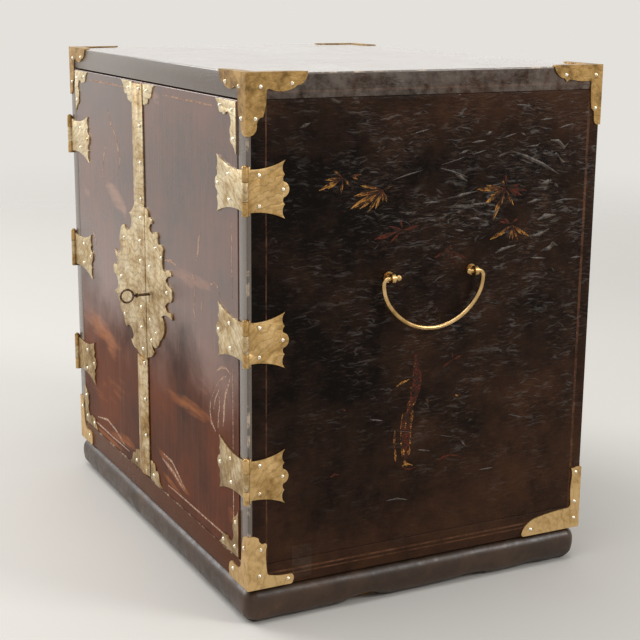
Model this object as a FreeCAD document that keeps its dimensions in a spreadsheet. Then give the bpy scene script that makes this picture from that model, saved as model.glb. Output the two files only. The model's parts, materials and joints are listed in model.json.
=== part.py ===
import FreeCAD, Part
import math
import os

import Sketcher
from FreeCAD import Placement, Rotation, Vector

# A lacquered table cabinet for jewellery: two doors on brass strap hinges, and behind them two columns
# of drawers. Millimetres, +Z up, the front faces -Y. The origin is the middle of the footprint, on the
# surface that the cabinet stands on.

SIZES = (
    ("case_width", 430, "case, side to side over the boards"),
    ("case_depth", 316, "case, front to back over the boards"),
    ("body_height", 400, "case boards, without the plinth"),
    ("plinth_height", 30, "moulded plinth under the case"),
    ("plinth_proud", 2.5, "how far the plinth stands out of the case"),
    ("plinth_wide", 16, "moulding, front to back"),
    ("plinth_corner", 10, "radius of the plinth's upright corners"),
    ("plinth_shoulder", 9, "radius of the plinth's upper edge"),
    ("plinth_toe", 8, "radius of the plinth's lower edge"),
    ("base_rail", 14, "rails of the base frame inside the plinth"),
    ("arch_deep", 3, "hollow under the plinth between its standing stretches"),
    ("arch_long", 26, "length of such a hollow"),
    ("arch_place", 56, "such a hollow, from the middle of its side"),
    ("top_thick", 19, "case top board"),
    ("bottom_thick", 20, "case bottom board"),
    ("side_thick", 15, "case side boards"),
    ("back_thick", 8, "back panel"),
    ("door_thick", 14, "doors"),
    ("door_proud", 0.3, "doors in front of the case's front edges"),
    ("door_gap", 1, "gap round each door"),
    ("door_round", 0.8, "rounding of the doors' front edges"),
    ("seam_place", -4, "line where the doors meet, from the middle"),
    ("seam_gap", 1.5, "gap between the two doors"),
    ("recess", 22, "space between the doors and the drawer fronts"),
    ("stop_high", 10, "door stops"),
    ("glue_gap", 0.05, "glue line between two boards"),
    ("seat_gap", 0.3, "gap where one piece slides on another"),
    ("lining_thick", 6, "linings beside the drawers"),
    ("divider_thick", 6, "board between the two columns of drawers"),
    ("shelf_thick", 6, "dust boards between the drawers"),
    ("opening_low", 145, "height of the lowest drawer's opening"),
    ("opening_middle", 112, "height of the middle drawer's opening"),
    ("front_thick", 9, "drawer fronts"),
    ("front_round", 1, "rounding of the drawer fronts' edges"),
    ("drawer_side", 6, "drawer sides and backs"),
    ("drawer_floor", 4, "drawer bottoms"),
    ("drawer_play", 0.5, "play beside and above a drawer"),
    ("drawer_back_gap", 6, "space behind a closed drawer"),
    ("drawer_low_side", 5, "drawer sides below the top of the front"),
    ("leaf_thick", 1.2, "hinge leaves"),
    ("knuckle_round", 2.6, "radius of a hinge knuckle"),
    ("knuckle_out", 2, "hinge axis, out of both faces of the case's corner"),
    ("knuckle_long", 36, "three knuckles together"),
    ("knuckle_gap", 0.3, "gap between two knuckles"),
    ("knuckle_middle", 14, "middle knuckle, on the door's leaf"),
    ("pin_round", 1.1, "radius of a hinge pin"),
    ("pin_play", 0.08, "play round a hinge pin"),
    ("pin_head", 1.8, "height of a hinge pin's head"),
    ("leaf_start", 1.2, "plain leaf, from the case's corner"),
    ("leaf_root", 16, "half the height of a leaf beside the knuckle"),
    ("leaf_tip", 22, "half the height of a leaf at its outer points"),
    ("side_leaf", 31, "leaf on the case's side, to its points"),
    ("door_leaf", 54, "leaf on the door, to its points"),
    ("hinge_low", 91, "lowest hinge, above the case's bottom"),
    ("hinge_high", 85, "highest hinge, below the case's top"),
    ("hinge_drop", 3, "middle hinge, below the middle of the other two"),
    ("plate_thick", 1, "corner mounts"),
    ("door_mount_arm", 39, "corner mounts on the doors"),
    ("door_mount_wide", 11, "width of their arms"),
    ("spandrel_arm", 29, "small mounts beside the seam, level arm"),
    ("spandrel_rise", 17, "small mounts beside the seam, upright arm"),
    ("strap_wide", 26, "closing strap on the left door"),
    ("strap_edge", 1.2, "closing strap, thickness at its edges"),
    ("strap_ridge", 2.8, "closing strap, thickness at its ridge"),
    ("strap_short", 2, "closing strap, short of the door at each end"),
    ("lock_thick", 1.4, "lock plate"),
    ("lock_height", 204, "middle of the lock plate, above the case's bottom"),
    ("lock_reach", 70, "half the height of the lock plate's left part"),
    ("key_height", 196, "keyhole, above the case's bottom"),
    ("key_side", 8, "keyhole, from the seam"),
    ("key_round", 1.3, "radius of the key's shank"),
    ("key_reach", 22, "middle of the key's bow, in front of the case"),
    ("bow_round", 5.7, "radius of the key's bow"),
    ("bow_wire", 0.95, "radius of the bow's wire"),
    ("bit_long", 6, "key bit, below the shank"),
    ("lock_wide", 40, "lock case"),
    ("lock_tall", 52, "lock case"),
    ("lock_deep", 8, "lock case"),
    ("lock_wall", 1.2, "walls of the lock case"),
    ("lock_edge", 2, "lock case, from the seam"),
    ("bolt_tall", 8, "bolt of the lock"),
    ("bolt_deep", 4, "bolt of the lock"),
    ("bolt_long", 24, "bolt of the lock"),
    ("keeper_wide", 12, "keeper on the left door"),
    ("slide_wide", 8, "slide bolts of the left door"),
    ("slide_deep", 3, "slide bolts, thickness"),
    ("slide_long", 46, "slide bolts"),
    ("slide_place", 32, "slide bolts, from the seam"),
    ("slide_throw", 12, "travel of a slide bolt"),
    ("slide_short", 1.5, "drawn slide bolt, short of the board it enters"),
    ("slide_play", 0.2, "play round a slide bolt"),
    ("staple_wall", 1.4, "staples that carry the slide bolts"),
    ("staple_tall", 6, "staples that carry the slide bolts"),
    ("staple_back", 13, "outer staple, from the bolt's end"),
    ("slide_knob", 2.5, "radius of a slide bolt's knob"),
    ("nail_round", 1.7, "radius of a nail's domed head"),
    ("nail_dome", 1.15, "height of a nail's domed head"),
    ("nail_shank", 0.55, "radius of a nail's shank"),
    ("nail_long", 6, "nail shank in the wood"),
    ("nail_hole", 0.7, "radius of the nail holes in the brass"),
    ("handle_height", 241, "pivot of a carrying handle, above the case's bottom"),
    ("handle_half", 38, "eye of a carrying handle, from the middle"),
    ("handle_out", 7, "pivot of a carrying handle, out of the side"),
    ("bail_half", 45.5, "half the width of a bail"),
    ("bail_drop", 43, "a bail's lowest point below its pivot"),
    ("bail_turn", 4.5, "radius where a bail turns down"),
    ("bail_side", 30, "radius of a bail's flanks"),
    ("bail_wire", 1.8, "radius of a bail's wire"),
    ("bail_end", 2.6, "radius of the ball on a bail's end"),
    ("eye_round", 4, "radius of a handle's eye"),
    ("eye_bore", 2.2, "radius of the hole in that eye"),
    ("eye_wide", 3, "length of that hole"),
    ("rose_round", 4.4, "radius of the washer under an eye"),
    ("ring_round", 7, "radius of a drawer ring"),
    ("ring_wire", 1.1, "radius of its wire"),
    ("ring_out", 4.6, "pivot of a drawer ring, out of the drawer front"),
    ("pull_round", 9, "radius of the plate under a drawer ring"),
    ("pull_eye", 2.9, "radius of a drawer ring's eye"),
    ("pull_bore", 1.6, "radius of the hole in that eye"),
    ("pull_wide", 2, "length of that hole"),
    ("pull_shank", 6, "eye shank in the drawer front"),
)

doc = FreeCAD.newDocument("jewellery_cabinet")
sheet = doc.addObject("Spreadsheet::Sheet", "sizes")
for row, (alias, value, words) in enumerate(SIZES, 1):
    sheet.set(f"A{row}", words)
    sheet.set(f"B{row}", str(value))
    sheet.setAlias(f"B{row}", alias)
doc.recompute()

nodes = []


def size(alias):
    """A driving size, as a number."""
    return float(sheet.get(alias))


def keep(piece, name):
    """Makes an object one of the cabinet's sub-parts."""
    piece.Label = name
    nodes.append(piece)
    return piece


# Places that several pieces share, as expressions of the driving sizes
FRONT = "(-sizes.case_depth / 2)"
BACK = "(sizes.case_depth / 2)"
BODY_LOW = "sizes.plinth_height"
BODY_TOP = "(sizes.plinth_height + sizes.body_height)"
INNER_LOW = "(sizes.plinth_height + sizes.bottom_thick)"
INNER_TOP = f"({BODY_TOP} - sizes.top_thick)"
INNER_HALF = "(sizes.case_width / 2 - sizes.side_thick)"
DOOR_FACE = f"({FRONT} - sizes.door_proud)"
DOOR_BACK = f"({DOOR_FACE} + sizes.door_thick)"
DRAWER_FACE = f"({DOOR_BACK} + sizes.recess)"
DRAWER_END = f"({BACK} - sizes.back_thick - sizes.drawer_back_gap)"
SEAM_LEFT = "(sizes.seam_place - sizes.seam_gap / 2)"
SEAM_RIGHT = "(sizes.seam_place + sizes.seam_gap / 2)"


# Shapes that are bound to the sheet
def bind_place(piece, low):
    """Binds an object's position to three expressions."""
    for axis, text in zip("xyz", low):
        piece.setExpression("Placement.Base." + axis, str(text))


def block(name, low, sides):
    """A rectangular piece: expressions for its low corner and for its three sides."""
    box = doc.addObject("Part::Box", name)
    for side, text in zip(("Length", "Width", "Height"), sides):
        box.setExpression(side, str(text))
    bind_place(box, low)
    return box


def rod(name, base, axis, radius, length):
    """A round piece: expressions for the middle of its first end, its radius and its length."""
    cylinder = doc.addObject("Part::Cylinder", name)
    cylinder.setExpression("Radius", str(radius))
    cylinder.setExpression("Height", str(length))
    cylinder.Placement = Placement(Vector(), Rotation(Vector(0, 0, 1), axis))
    bind_place(cylinder, base)
    return cylinder


def ring(name, centre, axis, radius, wire):
    """A closed ring of round wire."""
    torus = doc.addObject("Part::Torus", name)
    torus.setExpression("Radius1", radius)
    torus.setExpression("Radius2", wire)
    torus.Placement = Placement(Vector(), Rotation(Vector(0, 0, 1), axis))
    bind_place(torus, centre)
    return torus


def cut(name, piece, tool):
    """One object less another."""
    result = doc.addObject("Part::Cut", name)
    result.Base = piece
    result.Tool = tool
    return result


def join(name, pieces):
    """Objects joined into one solid."""
    result = doc.addObject("Part::MultiFuse", name)
    result.Shapes = pieces
    result.Refine = True
    return result


def group(name, pieces):
    """Separate solids that share a sub-part."""
    result = doc.addObject("Part::Compound", name)
    result.Links = pieces
    return result


def solid(name, shape):
    """A piece whose shape is worked out here from the driving sizes."""
    result = doc.addObject("Part::Feature", name)
    result.Shape = shape
    return result


def sketch_on_front(body, name):
    """A sketch on the body's own upright plane, X to the right and Z up."""
    sketch = body.newObject("Sketcher::SketchObject", name)
    plane = next(f for f in body.Origin.OriginFeatures if f.Role == "XZ_Plane")
    sketch.AttachmentSupport = [(plane, "")]
    sketch.MapMode = "FlatFace"
    return sketch


def bound_rectangle(sketch, low, high):
    """Four lines between two corners, each corner held by two expressions."""
    corners = [Vector(0, 0, 0), Vector(10, 0, 0), Vector(10, 10, 0), Vector(0, 10, 0)]
    for start, end in zip(corners, corners[1:] + corners[:1]):
        sketch.addGeometry(Part.LineSegment(start, end))
    for line in range(4):
        sketch.addConstraint(Sketcher.Constraint("Coincident", line, 2, (line + 1) % 4, 1))
    for line, way in enumerate(("Horizontal", "Vertical", "Horizontal", "Vertical")):
        sketch.addConstraint(Sketcher.Constraint(way, line))
    places = ((0, "DistanceX", low[0]), (0, "DistanceY", low[1]))
    places += ((2, "DistanceX", high[0]), (2, "DistanceY", high[1]))
    for line, way, text in places:
        index = sketch.addConstraint(Sketcher.Constraint(way, line, 1, 0.0))
        sketch.setExpression(f"Constraints[{index}]", str(text))


def padded_board(name, low, high, thick, face, rounding):
    """An upright board: a sketched rectangle, padded, with its front edges rounded."""
    body = doc.addObject("PartDesign::Body", name)
    sketch = sketch_on_front(body, name + "_outline")
    bound_rectangle(sketch, low, high)
    pad = body.newObject("PartDesign::Pad", name + "_pad")
    pad.Profile = sketch
    pad.setExpression("Length", thick)
    pad.Reversed = True
    body.setExpression("Placement.Base.y", face)
    doc.recompute()
    edges = [
        f"Edge{i}"
        for i, edge in enumerate(pad.Shape.Edges, 1)
        if abs(edge.BoundBox.YMin) < 1e-6 and abs(edge.BoundBox.YMax) < 1e-6
    ]
    fillet = body.newObject("PartDesign::Fillet", name + "_edges")
    fillet.Base = (pad, edges)
    fillet.setExpression("Radius", rounding)
    body.Tip = fillet
    doc.recompute()
    return body


def pocket_through(body, sketch, name):
    """Cuts a sketch through a body from its front, and makes sure that something was cut."""
    before = body.Shape.Volume
    pocket = body.newObject("PartDesign::Pocket", name)
    pocket.Profile = sketch
    pocket.Type = "ThroughAll"
    pocket.Midplane = True
    body.Tip = pocket
    doc.recompute()
    if not body.Shape.Volume < before:
        raise ValueError(f"{name} cuts nothing")


# Brass outlines: corners (u, v, bulge), counter-clockwise; the bulge is how far the stretch to the next
# corner swells outwards, as a share of its length, and 0 is a straight stretch
def outline(corners, origin, along, up):
    """A closed wire of lines and arcs on the plane through origin."""
    def spot(u, v):
        return origin + along * u + up * v

    edges = []
    for (u, v, bulge), (next_u, next_v, _) in zip(corners, corners[1:] + corners[:1]):
        start = spot(u, v)
        end = spot(next_u, next_v)
        if bulge:
            middle = spot((u + next_u) / 2 + bulge * (next_v - v), (v + next_v) / 2 - bulge * (next_u - u))
            edges.append(Part.Arc(start, middle, end).toShape())
        else:
            edges.append(Part.makeLine(start, end))
    return Part.Wire(edges)


class Sheet:
    """A plane that brass is nailed on: where it starts, its two directions and the way it faces."""

    def __init__(self, origin, along, up, facing):
        self.origin = origin
        self.along = along
        self.up = up
        self.facing = facing

    def spot(self, u, v, out=0.0):
        return self.origin + self.along * u + self.up * v + self.facing * out

    def plate(self, corners, thick):
        wire = outline(corners, self.origin, self.along, self.up)
        return Part.Face(wire).extrude(self.facing * thick)


def drilled(plate, sheet_of, thick, places, nails):
    """A brass plate with its nail holes, and its nails added to the list."""
    holes = []
    for u, v in places:
        foot = sheet_of.spot(u, v, -1)
        holes.append(Part.makeCylinder(size("nail_hole"), thick + 2, foot, sheet_of.facing))
        nails.append((sheet_of.spot(u, v, thick), sheet_of.facing))
    return plate.cut(Part.makeCompound(holes))


def domed(head, dome, shank, long):
    """A turned nail or pin: the underside of its round head is at the origin and its shank points down."""
    ball = (head * head + dome * dome) / (2 * dome)
    half = math.asin(head / ball) / 2
    shoulder = Vector(ball * math.sin(half), 0, dome - ball + ball * math.cos(half))
    edges = [
        Part.Arc(Vector(0, 0, dome), shoulder, Vector(head, 0, 0)).toShape(),
        Part.makeLine(Vector(head, 0, 0), Vector(shank, 0, 0)),
        Part.makeLine(Vector(shank, 0, 0), Vector(shank, 0, -long)),
        Part.makeLine(Vector(shank, 0, -long), Vector(0, 0, -long)),
        Part.makeLine(Vector(0, 0, -long), Vector(0, 0, dome)),
    ]
    return Part.Face(Part.Wire(edges)).revolve(Vector(), Vector(0, 0, 1), 360)


def nail_solids(nails):
    """One domed nail for each (place, direction)."""
    long = size("nail_long") + size("plate_thick")
    one = domed(size("nail_round"), size("nail_dome"), size("nail_shank"), long)
    copies = []
    for place, facing in nails:
        copy = one.copy()
        copy.Placement = Placement(place, Rotation(Vector(0, 0, 1), facing))
        copies.append(copy)
    return Part.makeCompound(copies)


def mirrored(shape):
    """The same piece on the other side of the cabinet."""
    return shape.mirror(Vector(), Vector(1, 0, 0))


def mirrored_nails(nails):
    """The same nails on the other side of the cabinet."""
    return [(Vector(-p.x, p.y, p.z), Vector(-d.x, d.y, d.z)) for p, d in nails]


# The case
def make_case():
    width = "sizes.case_width"
    depth = "sizes.case_depth"
    inner_tall = f"({INNER_TOP} - {INNER_LOW})"
    slot_wide = "(sizes.slide_wide + 4 * sizes.slide_play)"
    slot_low = f"(sizes.seam_place - sizes.slide_place - {slot_wide} / 2)"
    slot_deep = "(sizes.slide_throw + 2)"
    slot = (slot_wide, "(sizes.slide_deep + 2 * sizes.slide_play)", slot_deep)
    top = block("top_board", ("-sizes.case_width / 2", FRONT, INNER_TOP), (width, depth, "sizes.top_thick"))
    top_slot = block("top_slot", (slot_low, DOOR_BACK, INNER_TOP), slot)
    keep(cut("top_with_slot", top, top_slot), "case_top")
    corner = ("-sizes.case_width / 2", FRONT, BODY_LOW)
    bottom = block("bottom_board", corner, (width, depth, "sizes.bottom_thick"))
    bottom_slot = block("bottom_slot", (slot_low, DOOR_BACK, f"{INNER_LOW} - {slot_deep}"), slot)
    keep(cut("bottom_with_slot", bottom, bottom_slot), "case_bottom")
    upright = ("sizes.side_thick", depth, inner_tall)
    keep(block("left_board", ("-sizes.case_width / 2", FRONT, INNER_LOW), upright), "left_side")
    keep(block("right_board", (INNER_HALF, FRONT, INNER_LOW), upright), "right_side")
    back_low = (f"-{INNER_HALF}", f"{BACK} - sizes.back_thick", INNER_LOW)
    keep(block("back_board", back_low, (f"2 * {INNER_HALF}", "sizes.back_thick", inner_tall)), "back_panel")

    # Two blocks before the divider's ends, where both doors come to rest
    stops = []
    for name, low in (("low", INNER_LOW), ("high", f"{INNER_TOP} - sizes.stop_high")):
        start = ("sizes.seam_place - sizes.divider_thick / 2", f"{DOOR_BACK} + sizes.seat_gap", low)
        sides = ("sizes.divider_thick", "sizes.recess - sizes.seat_gap", "sizes.stop_high")
        stops.append(block(name + "_stop", start, sides))
    keep(group("stops", stops), "door_stops")


def make_drawer_space():
    """The linings, the divider and the dust boards that the drawers run between."""
    depth = f"({BACK} - sizes.back_thick - {DRAWER_FACE})"
    tall = f"({INNER_TOP} - {INNER_LOW})"
    divider = ("sizes.seam_place - sizes.divider_thick / 2", DRAWER_FACE, INNER_LOW)
    keep(block("divider", divider, ("sizes.divider_thick", depth, tall)), "centre_divider")
    linings = []
    for name, low in (("left", f"-{INNER_HALF}"), ("right", f"{INNER_HALF} - sizes.lining_thick")):
        sides = ("sizes.lining_thick", depth, tall)
        linings.append(block(name + "_lining", (low, DRAWER_FACE, INNER_LOW), sides))
    keep(group("linings", linings), "side_linings")
    shelves = []
    for column, (low, high) in COLUMNS.items():
        for level in ("low", "middle"):
            start = (low, DRAWER_FACE, f"{OPENINGS[level][1]}")
            sides = (f"{high} - {low}", depth, "sizes.shelf_thick")
            shelves.append(block(f"{column}_{level}_shelf", start, sides))
    keep(group("shelves", shelves), "dust_boards")


# Each column of drawers, from its lining to the divider
COLUMNS = {
    "left": (f"(-{INNER_HALF} + sizes.lining_thick)", "(sizes.seam_place - sizes.divider_thick / 2)"),
    "right": ("(sizes.seam_place + sizes.divider_thick / 2)", f"({INNER_HALF} - sizes.lining_thick)"),
}
LOW_TOP = f"({INNER_LOW} + sizes.opening_low)"
MIDDLE_TOP = f"({LOW_TOP} + sizes.shelf_thick + sizes.opening_middle)"
OPENINGS = {
    "low": (INNER_LOW, LOW_TOP),
    "middle": (f"({LOW_TOP} + sizes.shelf_thick)", MIDDLE_TOP),
    "top": (f"({MIDDLE_TOP} + sizes.shelf_thick)", INNER_TOP),
}


def make_drawer(column, level):
    """A drawer: its front, a box of four boards, a pull with its eye, and the ring that hangs in it."""
    name = f"{column}_{level}_drawer"
    left, right = COLUMNS[column]
    floor, ceiling = OPENINGS[level]
    low_x = f"({left} + sizes.drawer_play)"
    high_x = f"({right} - sizes.drawer_play)"
    low_z = f"({floor} + sizes.seat_gap)"
    high_z = f"({ceiling} - sizes.drawer_play)"
    front = padded_board(
        name + "_board",
        (low_x, low_z),
        (high_x, high_z),
        "sizes.front_thick",
        DRAWER_FACE,
        "sizes.front_round",
    )
    keep(front, name + "_front")

    start = f"({DRAWER_FACE} + sizes.front_thick + sizes.glue_gap)"
    long = f"({DRAWER_END} - {start})"
    side_tall = f"({high_z} - sizes.drawer_low_side - {low_z})"
    side = ("sizes.drawer_side", long, side_tall)
    inner_low = f"({low_x} + sizes.drawer_side + sizes.glue_gap)"
    inner_wide = f"({high_x} - {low_x} - 2 * sizes.drawer_side - 2 * sizes.glue_gap)"
    floor_long = f"({long} - sizes.drawer_side - sizes.glue_gap)"
    boards = [
        block(name + "_left", (low_x, start, low_z), side),
        block(name + "_right", (f"{high_x} - sizes.drawer_side", start, low_z), side),
        block(
            name + "_end",
            (inner_low, f"{DRAWER_END} - sizes.drawer_side", f"{low_z} + sizes.glue_gap"),
            (inner_wide, "sizes.drawer_side", f"{side_tall} - 2 * sizes.glue_gap"),
        ),
        block(
            name + "_floor",
            (inner_low, f"{start} + sizes.glue_gap", f"{low_z} + 2 * sizes.glue_gap"),
            (inner_wide, f"{floor_long} - sizes.glue_gap", "sizes.drawer_floor"),
        ),
    ]
    keep(group(name + "_boards", boards), name + "_box")

    # The ring hangs a little above the middle of the front
    middle = f"(({low_x} + {high_x}) / 2)"
    pivot_y = f"({DRAWER_FACE} - sizes.ring_out)"
    pivot_z = f"(({low_z} + {high_z}) / 2 + sizes.ring_round / 2)"
    outwards = Vector(0, -1, 0)
    across = Vector(1, 0, 0)
    eye_low = f"({middle} - sizes.pull_wide / 2)"
    shank = f"({DRAWER_FACE} + sizes.pull_shank)"
    foot = (middle, DRAWER_FACE, pivot_z)
    inner = (middle, shank, pivot_z)
    solids = join(
        name + "_pull_solid",
        [
            rod(name + "_rose", foot, outwards, "sizes.pull_round", "sizes.plate_thick"),
            rod(name + "_shank", inner, outwards, "sizes.pull_wide * 0.4", f"{shank} - {pivot_y}"),
            rod(name + "_eye", (eye_low, pivot_y, pivot_z), across, "sizes.pull_eye", "sizes.pull_wide"),
        ],
    )
    start = (f"{eye_low} - 1", pivot_y, pivot_z)
    bore = rod(name + "_bore", start, across, "sizes.pull_bore", "sizes.pull_wide + 2")
    keep(cut(name + "_pull_cut", solids, bore), name + "_pull")
    centre = (middle, pivot_y, f"{pivot_z} - sizes.ring_round")
    keep(ring(name + "_wire", centre, Vector(0, 1, 0), "sizes.ring_round", "sizes.ring_wire"), name + "_ring")


# The plinth
def make_plinth():
    """A frame of rails that carries the case, and four mitred mouldings with round shoulders round it."""
    half = size("case_width") / 2
    deep = size("case_depth") / 2
    proud = size("plinth_proud")
    wide = size("plinth_wide")
    tall = size("plinth_height")
    outer = block(
        "plinth_outer",
        ("-sizes.case_width / 2 - sizes.plinth_proud", f"{FRONT} - sizes.plinth_proud", 0),
        (
            "sizes.case_width + 2 * sizes.plinth_proud",
            "sizes.case_depth + sizes.plinth_proud",
            "sizes.plinth_height",
        ),
    )
    doc.recompute()
    rounds = ((lambda e: e.BoundBox.ZLength > 1, "plinth_corner"),)
    rounds += ((lambda e: e.BoundBox.ZMin > tall - 1e-3, "plinth_shoulder"),)
    rounds += ((lambda e: e.BoundBox.ZMax < 1e-3, "plinth_toe"),)
    shape = outer
    for number, (chosen, radius) in enumerate(rounds):
        rounded = doc.addObject("Part::Fillet", f"plinth_round_{number}")
        rounded.Base = shape
        edges = enumerate(shape.Shape.Edges, 1)
        rounded.Edges = [(i, size(radius), size(radius)) for i, e in edges if chosen(e)]
        doc.recompute()
        shape = rounded
    core = block(
        "plinth_core",
        (
            "-sizes.case_width / 2 - sizes.plinth_proud + sizes.plinth_wide",
            f"{FRONT} - sizes.plinth_proud + sizes.plinth_wide",
            -1,
        ),
        (
            "sizes.case_width + 2 * sizes.plinth_proud - 2 * sizes.plinth_wide",
            "sizes.case_depth + sizes.plinth_proud - 2 * sizes.plinth_wide",
            "sizes.plinth_height + 2",
        ),
    )
    frame = cut("plinth_frame", shape, core)
    doc.recompute()

    # Shallow hollows under the front and the sides leave standing stretches
    reach = size("arch_long") / 2
    sag = size("arch_deep")
    radius = (reach * reach + sag * sag) / (2 * sag)
    hollows = []
    for sign in (-1, 1):
        along = sign * size("arch_place")
        start = Vector(-half - 2 * wide, along, sag - radius)
        hollows.append(Part.makeCylinder(radius, 2 * half + 4 * wide, start, Vector(1, 0, 0)))
        start = Vector(2.4 * along, -deep - 2 * wide, sag - radius)
        hollows.append(Part.makeCylinder(radius, 4 * wide, start, Vector(0, 1, 0)))
    hollowed = frame.Shape.cut(Part.makeCompound(hollows))

    # Mitred into four mouldings, a glue line apart
    middle_y = -proud / 2
    corner_x = half + proud
    corner_y = deep + proud / 2
    apex = corner_x - corner_y
    glue = size("glue_gap")
    mitres = (
        ((-corner_x, -corner_y), (corner_x, -corner_y), (apex, 0), (-apex, 0)),
        ((corner_x, -corner_y), (corner_x, corner_y), (apex, 0)),
        ((corner_x, corner_y), (-corner_x, corner_y), (-apex, 0), (apex, 0)),
        ((-corner_x, corner_y), (-corner_x, -corner_y), (-apex, 0)),
    )
    pushes = ((0, -glue), (glue, 0), (0, glue), (-glue, 0))
    mouldings = []
    for points, push in zip(mitres, pushes):
        path = [Vector(x + push[0], y + middle_y + push[1], -1) for x, y in points]
        wedge = Part.Face(Part.makePolygon(path + path[:1])).extrude(Vector(0, 0, tall + 2))
        mouldings.append(hollowed.common(wedge))
    keep(solid("plinth_mouldings", Part.makeCompound(mouldings)), "plinth_moulding")

    rail_start = "(sizes.plinth_wide - sizes.plinth_proud + sizes.glue_gap)"
    outer_low = (f"-sizes.case_width / 2 + {rail_start}", f"{FRONT} + {rail_start}", 0)
    outer_sides = (
        f"sizes.case_width - 2 * {rail_start}",
        f"sizes.case_depth - {rail_start} - sizes.plinth_wide - sizes.glue_gap",
        "sizes.plinth_height",
    )
    rails = block("rails_outer", outer_low, outer_sides)
    inner_low = [f"{outer_low[0]} + sizes.base_rail", f"{outer_low[1]} + sizes.base_rail", -1]
    inner_sides = [f"{outer_sides[0]} - 2 * sizes.base_rail", f"{outer_sides[1]} - 2 * sizes.base_rail"]
    inner_sides.append("sizes.plinth_height + 2")
    keep(cut("rails", rails, block("rails_inner", inner_low, inner_sides)), "base_frame")


# Corner mounts: the inner edge of each face, from the end of its level arm to the end of its upright arm
UPPER_FLANK = (
    (49, 0, 0.14),
    (43, 8.8, -0.12),
    (38.5, 10.6, 0.11),
    (19, 11.6, -0.25),
    (15.8, 12.4, 0.05),
    (12.9, 31.3, -0.22),
    (8, 37.5, 0.24),
    (0, 45, 0),
)
UPPER_FACE = (
    (49, 0, 0.14),
    (43, 8.4, -0.12),
    (38, 10.2, 0.12),
    (20, 10.8, -0.22),
    (13.4, 13.4, 0.03),
    (12.2, 31, -0.2),
    (8, 37.5, 0.22),
    (0, 45, 0),
)
UPPER_BACK = (
    (46.8, 0, 0.17),
    (36.5, 9.6, 0),
    (34.4, 12.4, -0.15),
    (30, 10.6, 0.03),
    (13.5, 12.3, -0.2),
    (10, 13.2, 0.03),
    (8.6, 34.7, -0.15),
    (6, 37.5, 0),
    (5.5, 43.9, 0.24),
    (0, 47.6, 0),
)
LID = (
    (47, 0, 0.15),
    (42, 6.8, -0.1),
    (36, 8.4, 0.03),
    (13, 9.2, -0.2),
    (9.2, 13, 0.03),
    (8.4, 36, -0.1),
    (6.8, 42, 0.15),
    (0, 47, 0),
)
FOOT_FLANK = (
    (37, 0, 0.1),
    (39, 5, 0.16),
    (36.6, 8.6, -0.04),
    (18.6, 10.4, -0.2),
    (15.8, 13.2, -0.02),
    (14.6, 30, -0.05),
    (15.6, 35.2, 0.35),
    (12.3, 37.6, -0.18),
    (8.6, 42.6, 0.12),
    (0, 45, 0),
)
FOOT_FACE = (
    (35, 0, 0.08),
    (36, 9, 0.14),
    (29.5, 14.4, -0.05),
    (21, 13.2, -0.15),
    (13, 17, -0.03),
    (11, 27, 0.02),
    (9, 40, 0.1),
    (5, 44.2, 0),
    (0, 45, 0),
)
HEEL = (
    (57.5, 0, 0.1),
    (59.6, 2.6, 0.08),
    (54.5, 10.6, 0.08),
    (42, 15.8, 0.02),
    (12, 18.8, -0.16),
    (8.6, 22, 0.03),
    (9.4, 42, -0.04),
    (8.7, 50, -0.05),
    (9.8, 55.2, -0.1),
    (4.6, 56.2, 0.05),
    (0, 55.2, 0),
)
UPPER_NAILS = ((11.2, 9.6), (36.5, 7.6), (7, 32.6))
BACK_NAILS = ((5.4, 7.5), (35, 7), (5, 34))
FOOT_NAILS = ((10.6, 33), (9.4, 11), (34.2, 4.6))
FACE_NAILS = ((6, 34), (28, 8.6))
HEEL_NAILS = ((4.6, 51), (4.6, 24), (4.6, 8.6), (50, 5.4))


def mount_edge(inner, wrap_side=0.0, wrap_end=0.0):
    """The outline of one face of a mount, with the strips that wrap round the corner."""
    arm = inner[0][0]
    rise = inner[-1][1]
    corners = [(-wrap_side, -wrap_end, 0), (arm, -wrap_end, 0), *inner, (-wrap_side, rise, 0)]
    kept = []
    for corner in corners:
        if kept and math.dist(corner[:2], kept[-1][:2]) < 1e-6:
            kept.pop()
        kept.append(corner)
    if math.dist(kept[0][:2], kept[-1][:2]) < 1e-6:
        kept.pop()
    return kept


def corner_mount(side, face, high, nails):
    """A mount folded round one corner of the case; side and face are -1 or 1 along X and Y."""
    thick = size("plate_thick")
    top = size("plinth_height") + size("body_height")
    corner = Vector(
        side * size("case_width") / 2,
        face * size("case_depth") / 2,
        top if high else size("plinth_height"),
    )
    away = Vector(0, 0, -1 if high else 1)
    fold = thick if high else 0
    front = Sheet(corner, Vector(-side, 0, 0), away, Vector(0, face, 0))
    flank = Sheet(corner, Vector(0, -face, 0), away, Vector(side, 0, 0))
    if high and face < 0:
        faces = ((front, UPPER_FACE, UPPER_NAILS), (flank, UPPER_FLANK, UPPER_NAILS))
    elif high:
        faces = ((front, UPPER_BACK, BACK_NAILS), (flank, UPPER_BACK, BACK_NAILS))
    elif face < 0:
        faces = ((front, FOOT_FACE, FACE_NAILS), (flank, FOOT_FLANK, FOOT_NAILS))
    else:
        faces = ((front, HEEL, HEEL_NAILS), (flank, HEEL, HEEL_NAILS))
    plates = []
    for plane, edge, places in faces:
        plate = plane.plate(mount_edge(edge, thick, fold), thick)
        plates.append(drilled(plate, plane, thick, places, nails))
    if high:
        lid = Sheet(corner, Vector(-side, 0, 0), Vector(0, -face, 0), Vector(0, 0, 1))
        plates.append(lid.plate(mount_edge(LID, thick, thick), thick))
    return plates[0].fuse(plates[1:]).removeSplitter()


def make_corner_mounts(nails):
    mounts = []
    for side in (-1, 1):
        for face in (-1, 1):
            for high in (False, True):
                mounts.append(corner_mount(side, face, high, nails))
    keep(solid("corner_mounts", Part.makeCompound(mounts)), "case_corner_mounts")


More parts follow.
